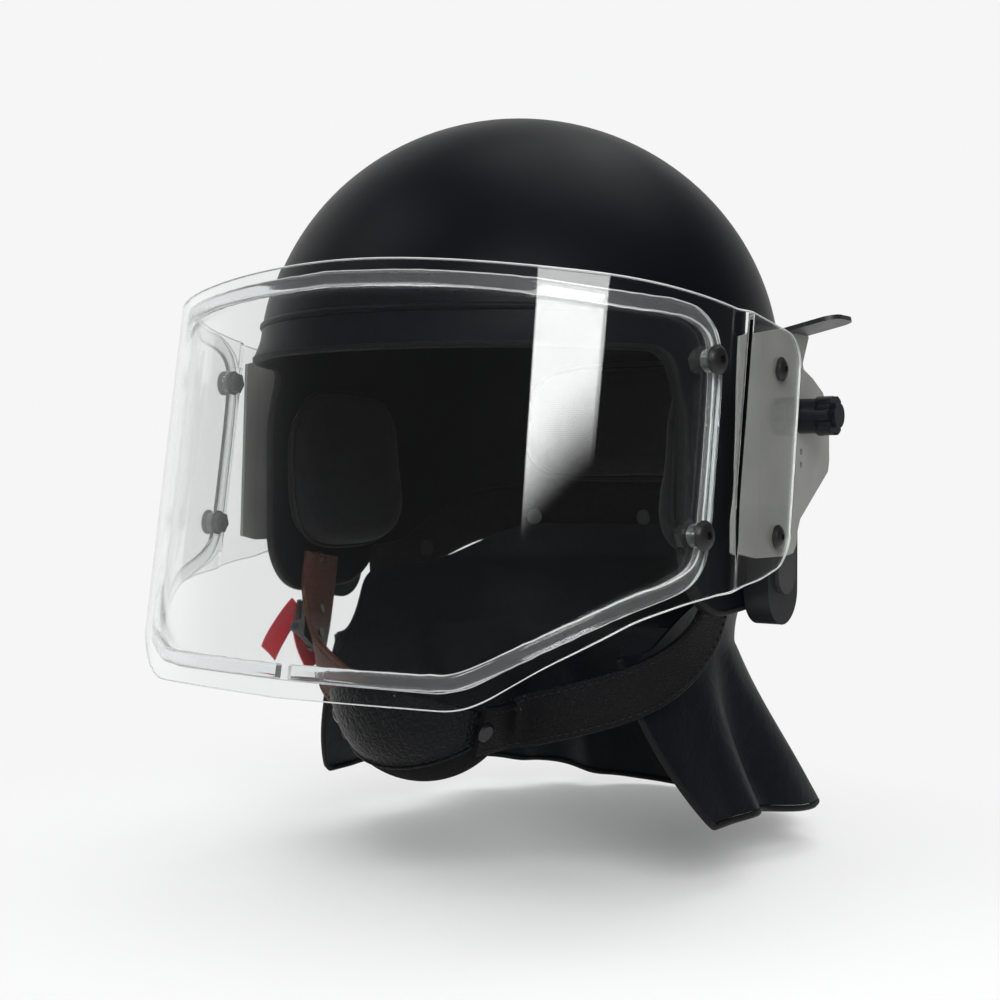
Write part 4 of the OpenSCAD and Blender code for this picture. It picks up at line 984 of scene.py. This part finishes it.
def plate(name, half, top, low, put, d0, d1, rows, paint, slot, stands_for, bevel=0.5):
    """A curved clear plate: a grid on each face, with a small bevel round its edges."""
    s = np.concatenate([-half[::-1], [0.0], half])
    t = np.linspace(0, 1, rows)

    def face(d, inset):
        k = (inset / (top(s) - low(s)))[:, None]
        share = k + t[None] * (1 - 2 * k)
        z = top(s)[:, None] * (1 - share) + low(s)[:, None] * share
        s2 = s.copy()
        s2[0] += inset
        s2[-1] -= inset
        return put(s2[:, None], z, d)

    layers = [face(d0, bevel), face(d0 + bevel, 0), face(d1 - bevel, 0), face(d1, bevel)]
    m, n = len(s), rows
    rim = [(i, 0) for i in range(m)] + [(m - 1, j) for j in range(1, n)]
    rim += [(i, n - 1) for i in range(m - 2, -1, -1)] + [(0, j) for j in range(n - 2, 0, -1)]
    base = 2 * m * n
    edges = [np.array([layer[i, j] for i, j in rim]) for layer in layers[1:3]]
    verts = np.concatenate([layers[0].reshape(-1, 3), layers[3].reshape(-1, 3)] + edges)
    faces = strip_faces(m, n, loop_n=False) + strip_faces(m, n, loop_n=False, base=m * n)
    r = len(rim)
    for a in range(r):
        b = (a + 1) % r
        ia, ib = rim[a][0] * n + rim[a][1], rim[b][0] * n + rim[b][1]
        faces.append((ia, ib, base + b, base + a))
        faces.append((base + a, base + b, base + r + b, base + r + a))
        faces.append((base + r + a, base + r + b, m * n + ib, m * n + ia))
    obj = piece(name, verts, faces, paint, slot, stands_for, 35, "visor")
    second_paint(obj, PANE_EDGE, [f >= len(faces) - 3 * r for f in range(len(faces))])


wing_corner = WING_END - WING_R + WING_R * np.sin(np.radians(np.linspace(0, 88, 16)))
outer_s = [np.arange(3, 195, 3), np.arange(196, 212), np.arange(213, WING_END - WING_R, 3), wing_corner]
plate("outer_visor_pane", np.concatenate(outer_s), outer_top, outer_low, pane_pt, 0.0, OUTER_T - AIR, 40,
      PANE, "clear_pane", ("outer_pane",))
margin = BEAD_W / 2 + 0.4
top_seal, low_seal = inner_edge(SEAL_TOP), inner_edge(SEAL_LOW)
inner_s = np.concatenate([np.arange(3, 186, 3), np.linspace(187, SEAL_END + margin, 8)])
plate("inner_visor_pane", inner_s, lambda s: top_seal(s) + margin, lambda s: low_seal(s) - margin,
      visor_at, INNER_D, STACK, 36, PANE, "clear_pane", ("inner_pane",), bevel=0.4)

# Half the bead's gap at the chin, its air to either pane and how far its sides wander
CHIN_GAP, BEAD_AIR, WANDER = 3.5, 0.06, 0.09


def make_gasket():
    """The clear bead between the panes: a slightly wandering section along the seal's line."""
    low = np.concatenate([[[CHIN_GAP, SEAL_LOW[0, 1]]], SEAL_LOW[1:]])
    half = spaced(cut_corners(np.concatenate([low, SEAL_TOP[::-1]])), 420)
    path = np.concatenate([half, mirrored(half[:-1])])
    t = path_dirs(path)
    n = np.stack([-t[:, 1], t[:, 0]], 1)
    k = BEAD_W / 2
    lo, hi = OUTER_T + BEAD_AIR, INNER_D - BEAD_AIR
    mid = (lo + hi) / 2
    half = [(k, 0.5), (k - 0.5, 0), (k * 0.3, 0)]
    flank = half + [(-p, q) for p, q in half[::-1]]
    section = [(p, lo + q) for p, q in flank] + [(-k - 0.15, mid)]
    section += [(p, hi - q) for p, q in flank[::-1]] + [(k + 0.15, mid)]
    rng = np.random.default_rng(4)
    knots = np.arange(0, len(path) + 20, 4)
    wobble = np.interp(np.arange(len(path)), knots, rng.normal(0, WANDER, len(knots)))
    rings = []
    for w, d in section:
        at = path + n * (w + np.sign(w) * wobble * (abs(w) > 2))[:, None]
        rings.append(visor_at(at[:, 0], at[:, 1], d))
    verts, faces = loft(np.stack(rings, 1))
    bead = piece("seal_bead", verts, faces, GASKET, "clear_gasket", ("visor_gasket",), 50, "visor")
    second_paint(bead, BEAD_EDGE, [f % len(section) in (0, 4, 7, 11) for f in range(len(faces))])


make_gasket()

# Chin cup and straps

CUP_Y, CUP_Z, CUP_A, CUP_B, CUP_C = -88.0, -124.0, 44.0, 42.0, 44.0


def cup_pt(u, e, d):
    """Points of the cup at turn u, fall e (degrees) and depth d."""
    a, b = np.radians(u), np.radians(e)
    x = (CUP_A - d) * np.cos(b) * np.sin(a)
    y = CUP_Y - (CUP_B - d) * np.cos(b) * np.cos(a)
    return np.stack([x, y, CUP_Z - (CUP_C - d) * np.sin(b)], -1)


def cup_low(u):
    return -5 + 20 * (1 - np.cos(np.radians(u)))


def make_bowl(name, d, thick, below, paint, slot, stands):
    """A bowl between two depths of the cup, with a rounded lip; below lowers its edge, in degrees."""
    u = np.arange(0, 360, 3.0)
    low = cup_low(u) + below

    def row(k, depth):
        return cup_pt(u, low + (90 - low) * k, depth)

    shares = np.linspace(0.02, 0.985, 34)
    lip = [row(k, d + thick * c) for k, c in ((0.005, 0.12), (0, 0.5), (0.005, 0.88))]
    rings = [row(k, d) for k in shares[::-1]] + lip + [row(k, d + thick) for k in shares]
    return piece(name, *loft(rings), paint, slot, (stands,), sharp=60)


def leather_edge(u):
    """Elevation of the seam between the cup's leather front and its velvet underside."""
    a = (np.asarray(u, float) + 180) % 360 - 180
    return 50 - 34 * (np.abs(a) / 100) ** 2


cup = make_bowl("chin_cup_leather", 0.0, 3.0, 0, CUP_LEATHER, "cup_leather", "chin_cup")
spots = np.array([f.center for f in cup.data.polygons]) / MM - (0, CUP_Y, CUP_Z)
x, y, z = (spots / (CUP_A, CUP_B, CUP_C)).T
falls = np.degrees(np.arctan2(-z, np.hypot(x, y)))
second_paint(cup, VELVET, falls > leather_edge(np.degrees(np.arctan2(x, -y))))
seam_u = np.linspace(-92, 92, 140)
seam_e = leather_edge(seam_u)
tube("cup_seam", cup_pt(seam_u, seam_e, -0.25), 0.75, CUP_LEATHER, "cup_leather", sides=8)
outward = unit(cup_pt(seam_u, seam_e, 0.0) - (0, CUP_Y, CUP_Z))
stitches("cup_stitches", cup_pt(seam_u, seam_e - 3.2, 0.0), outward, "cup_leather", 2.2, 1.1)
lining = make_bowl("chin_cup_velvet", 3.3, 4.0, 3, VELVET, "lining_fabric", "chin_cup_lining")


def on_cup(u):
    """Where the strap's middle lies on the cup: half its thickness and a little air off the leather."""
    return cup_pt(float(u), 20.0, -1.5 - 0.6)


# Middle line of the left strap, from the rivet in the shell to the cup, and its width's direction
STRAP_LINE = [[119.4, -25, -70], [119.4, -28, -87], [115.5, -33, -101], [108, -42, -113], [97, -53, -122]]
STRAP_LINE += [[82, -63, -128], [62, -72, -134]] + [on_cup(u) for u in (110, 90, 72)]
STRAP_ACROSS = [[0, 1, 0], [0, 1, -0.15], [0.1, 0.9, -0.5], [0.15, 0.6, -0.8], [0.15, 0.25, -0.95]]
STRAP_ACROSS += [[0.1, 0, -1], [-0.1, -0.05, -1], [-0.3, 0.05, -0.94], [-0.35, 0, -0.94]]
STRAP_ACROSS.append([-0.33, -0.1, -0.94])
STRAP_W, STRAP_T = 24.0, 3.0


def make_strap(side, sign, paint, slot):
    """A chin strap with a rounded section and a row of stitches along either edge."""
    both = spaced(cut_corners(np.concatenate([STRAP_LINE, STRAP_ACROSS], 1), 5), 130)
    mid, across = both[:, :3], both[:, 3:]
    t = path_dirs(mid)
    w = unit(across - (across * t).sum(1, keepdims=True) * t)
    n = np.cross(t, w)
    a, b = STRAP_W / 2, STRAP_T / 2
    half = [(a, 0), (a - 0.25, b * 0.75), (a - 1.0, b), (a * 0.5, b * 1.02)]
    section = [(-p, q) for p, q in half] + [(0, b * 1.02)] + half[::-1]
    section += [(p, -q) for p, q in half[1:3]] + [(0, -b)] + [(-p, -q) for p, q in half[2:0:-1]]
    rings = np.stack([mid + w * p + n * q for p, q in section], 1)
    flip = np.array([sign, 1, 1])
    piece(side + "_strap", *loft(rings * flip), paint, slot, (side + "_chin_strap",), sharp=40)
    for k, tag in ((-1, "a"), (1, "b")):
        line = (mid + w * k * (a - 2.6) + n * b) * flip
        stitches(f"{side}_strap_seam_{tag}", line[2:-2], (n * flip)[2:-2], slot)


make_strap("left", 1, STRAP_LEATHER, "strap_leather")
make_strap("right", -1, BROWN_LEATHER, "strap_brown")


RIBBON_TOP, RIBBON_W, RIBBON_T = np.array([-125.73, -36.04, -97.48]), 13.0, 0.8


def make_tail(name, end, out, phase, stands_for=()):
    """One tail of the pull ribbon, from the pawl to its end, bowed outwards and a little curled."""
    fall = np.array(end) - RIBBON_TOP
    side = unit(np.cross([1, 0, 0], unit(fall)))
    across = np.linspace(-1, 1, 13)
    rings = []
    for q in np.linspace(0, 1, 40):
        bow = out + 2.2 * np.sin(q * pi)
        sway = 0.5 * np.sin(q * 9 + phase)
        curl = 0.5 * np.sin(across * 2.2 + q * 4 + phase)
        front = RIBBON_TOP + fall * q + side * (across * RIBBON_W / 2)[:, None]
        front[:, 0] -= bow + curl + sway * 0.3
        rings.append(np.concatenate([front, front[::-1] - (RIBBON_T, 0, 0)]))
    obj = piece(name, *loft(rings), RIBBON, "ribbon_fabric", stands_for, 40, "release_lever")


make_tail("ribbon_front", (-127.4, -57, -121.5), 0.0, 0, ("pull_ribbon",))
make_tail("ribbon_rear", (-126, -24, -130.5), -0.4, 1)

# Neck band and cape

BAND_D, BAND_T, BAND_H = WALL + 0.5 + 0.3, 6.0, 30.0
# Section of the band: share of its height and share of its thickness
BAND_SECTION = [(0.02, 0.1), (0.0, 0.5), (0.02, 0.85), (0.1, 1.0), (0.3, 1.08), (0.5, 1.1), (0.7, 1.08)]
BAND_SECTION += [(0.9, 1.0), (0.98, 0.85), (1.0, 0.5), (0.98, 0.1), (0.7, 0), (0.3, 0)]


def make_band():
    """The padded band round the nape, lower and less high towards its ends."""
    u = np.linspace(97, 263, 120)
    mu = np.minimum(u, 360 - u)
    low = -84 + 20 * ease((mu - 105) / 30)
    h = np.minimum(BAND_H, 18 + 12 * ease((mu - 100) / 20))
    rings = [surface(u, low + h * (1 - c), BAND_D + BAND_T * k) for c, k in BAND_SECTION]
    obj = piece("neck_band", *loft(np.stack(rings, 1)), FLEECE, "band_fabric", ("nape_band",), sharp=60)


make_band()

CAPE_T, CLOTH_T, HEM_DROP, HEM_OUT, FOLD_H = 2.4, 1.4, 214.0, 46.0, 10.0
WAIST_DROP, WAIST_W, WAIST_L, HEM_W, CAPE_Y = 112.0, 96.0, 98.0, 29.0, 4.0
EDGE_R, EDGE_IN = 1.6, 1.75
# Folds along the hem: height, place as a share of the half hem, and width
FOLDS = [(0.3, 0.13, 0.035), (-1, 0.19, 0.035), (0.5, 0.3, 0.07), (-0.8, 0.45, 0.06), (-0.9, 0.72, 0.06)]
FOLDS += [(0.3, 0.6, 0.06), (0.35, 0.92, 0.08)]


def turn(table):
    """A table of share and ring angle, with its corners eased."""
    x = np.linspace(-0.1, 1.1, 601)
    y = np.interp(x, *np.array(table).T)
    soft = np.convolve(np.pad(y, 12, mode="edge"), np.ones(25) / 25, mode="valid")
    soft += (np.interp(0, x, y) - np.interp(0, x, soft)) * np.maximum(0, 1 - np.abs(x) / 0.05)
    return lambda q: np.interp(q, x, soft)


# Ring angle over the share of the half cape, along its top and along its hem
TOP_TURN = turn([(0, 60), (0.15, 93), (0.27, 102.6), (1, 180)])
HEM_TURN = turn([(0, 83), (0.15, 93), (0.27, 118.7), (1, 180)])


def folds(q):
    return sum(h * np.exp(-(((q - at) / w) ** 2)) for h, at, w in FOLDS)


def cape_pt(q, v, d):
    """Points of the cape's left half: q runs from front to back, v from top to hem, d is the depth."""
    q, v, d = floats(q, v, d)
    top = -108 + 30 * ease((q - 0.03) / 0.12) + 22 * ease((q - 0.3) / 0.4)
    low = -HEM_DROP + 29 - 11 * ease((q - 0.12) / 0.15) - 18 * ease((q - 0.3) / 0.7)
    z = top + (low - top) * v
    u = np.radians(TOP_TURN(q) * (1 - v) + HEM_TURN(q) * v)
    rear = np.cos(u) < 0
    up = np.clip((WAIST_DROP + z) / 37, 0, 1) ** 2.5
    n = 2.5 - np.where(rear, 0.3, 0) * up
    down = np.maximum(0, -z - WAIST_DROP) / (HEM_DROP - 14 - WAIST_DROP)
    k = d + FOLD_H * folds(q) * ease((v - 0.2) / 0.7)
    a = WAIST_W + 17 * up + HEM_W * down**1.4 + k
    b = WAIST_L + 16 * up + (HEM_OUT + 20) * np.where(rear, down**0.75, down) + k
    return np.stack([a * np.abs(np.sin(u)) ** (2 / n), CAPE_Y - b * signed_pow(np.cos(u), 2 / n), z], -1)


def make_cape():
    """The cape's sheet with its thickness, from both halves; returns the left half's points."""
    q = np.linspace(0, 1, 130)
    v = np.linspace(0, 1, 60)
    half = cape_pt(q[:, None], v[None], -CAPE_T / 2)
    grid = np.concatenate([half, mirrored(half[:-1])])
    m, n = grid.shape[:2]
    faces = strip_faces(m, n, loop_n=False)
    obj = piece("cape_cloth", grid.reshape(-1, 3), faces, CAPE, "cape_cloth", ("neck_cape",))
    thick = obj.modifiers.new("thick", "SOLIDIFY")
    thick.thickness = CLOTH_T * MM
    thick.offset = 0
    apply_modifier(obj, thick)
    smooth_all(obj.data, 50)
    return half


def make_piping(half):
    """The bound edge: a cord along the front edges and the hem."""
    front = half[0, 1:-1] + unit(half[0] - half[2])[1:-1] * EDGE_IN
    hem = half[1:, -1] + (0, 0, -EDGE_IN)
    side = np.concatenate([front, hem])
    path = spaced(np.concatenate([side, mirrored(side[:-1])]), 520)
    tube("cape_edge", path, EDGE_R, PIPING, "cape_cloth", ("cape_piping",), up=(0.31, 0.2, 0.93))


make_piping(make_cape())

# Finishes of the carried-over nodes

FINISH = [
    (BASE_PLASTIC, "left_hinge_base right_hinge_base"),
    (PLATE_STEEL, "left_base_plate right_base_plate buckle_body"),
    (BRACKET_STEEL, "left_bracket right_bracket"),
    (SCREW_STEEL, "base_screws pane_screws pane_nuts wing_screws wing_nuts buckle_pawl"),
    (BARE_STEEL, "base_nuts left_pivot_bolt right_pivot_bolt"),
    (RUBBER, "left_friction_washer right_friction_washer"),
    (KNOB_PLASTIC, "left_collar right_collar left_knob right_knob"),
    (GASKET, "pane_spacers"),
    (RIVET, "strap_studs"),
    (NICKEL, "cape_snaps"),
]
for paint, names in FINISH:
    for name in names.split():
        data = nodes[name].data
        data.materials.clear()
        data.materials.append(paint)
        smooth_all(data, 30)

# The lift tab is what reaches further out than the left bracket's plate, in metres; its near-black coat is
# painted shade, standing for the shade on the tab's underside
TAB_FROM = 0.1495
tab = nodes["left_bracket"]
second_paint(tab, TAB_PAINTED_SHADE, [p.center.x > TAB_FROM for p in tab.data.polygons])
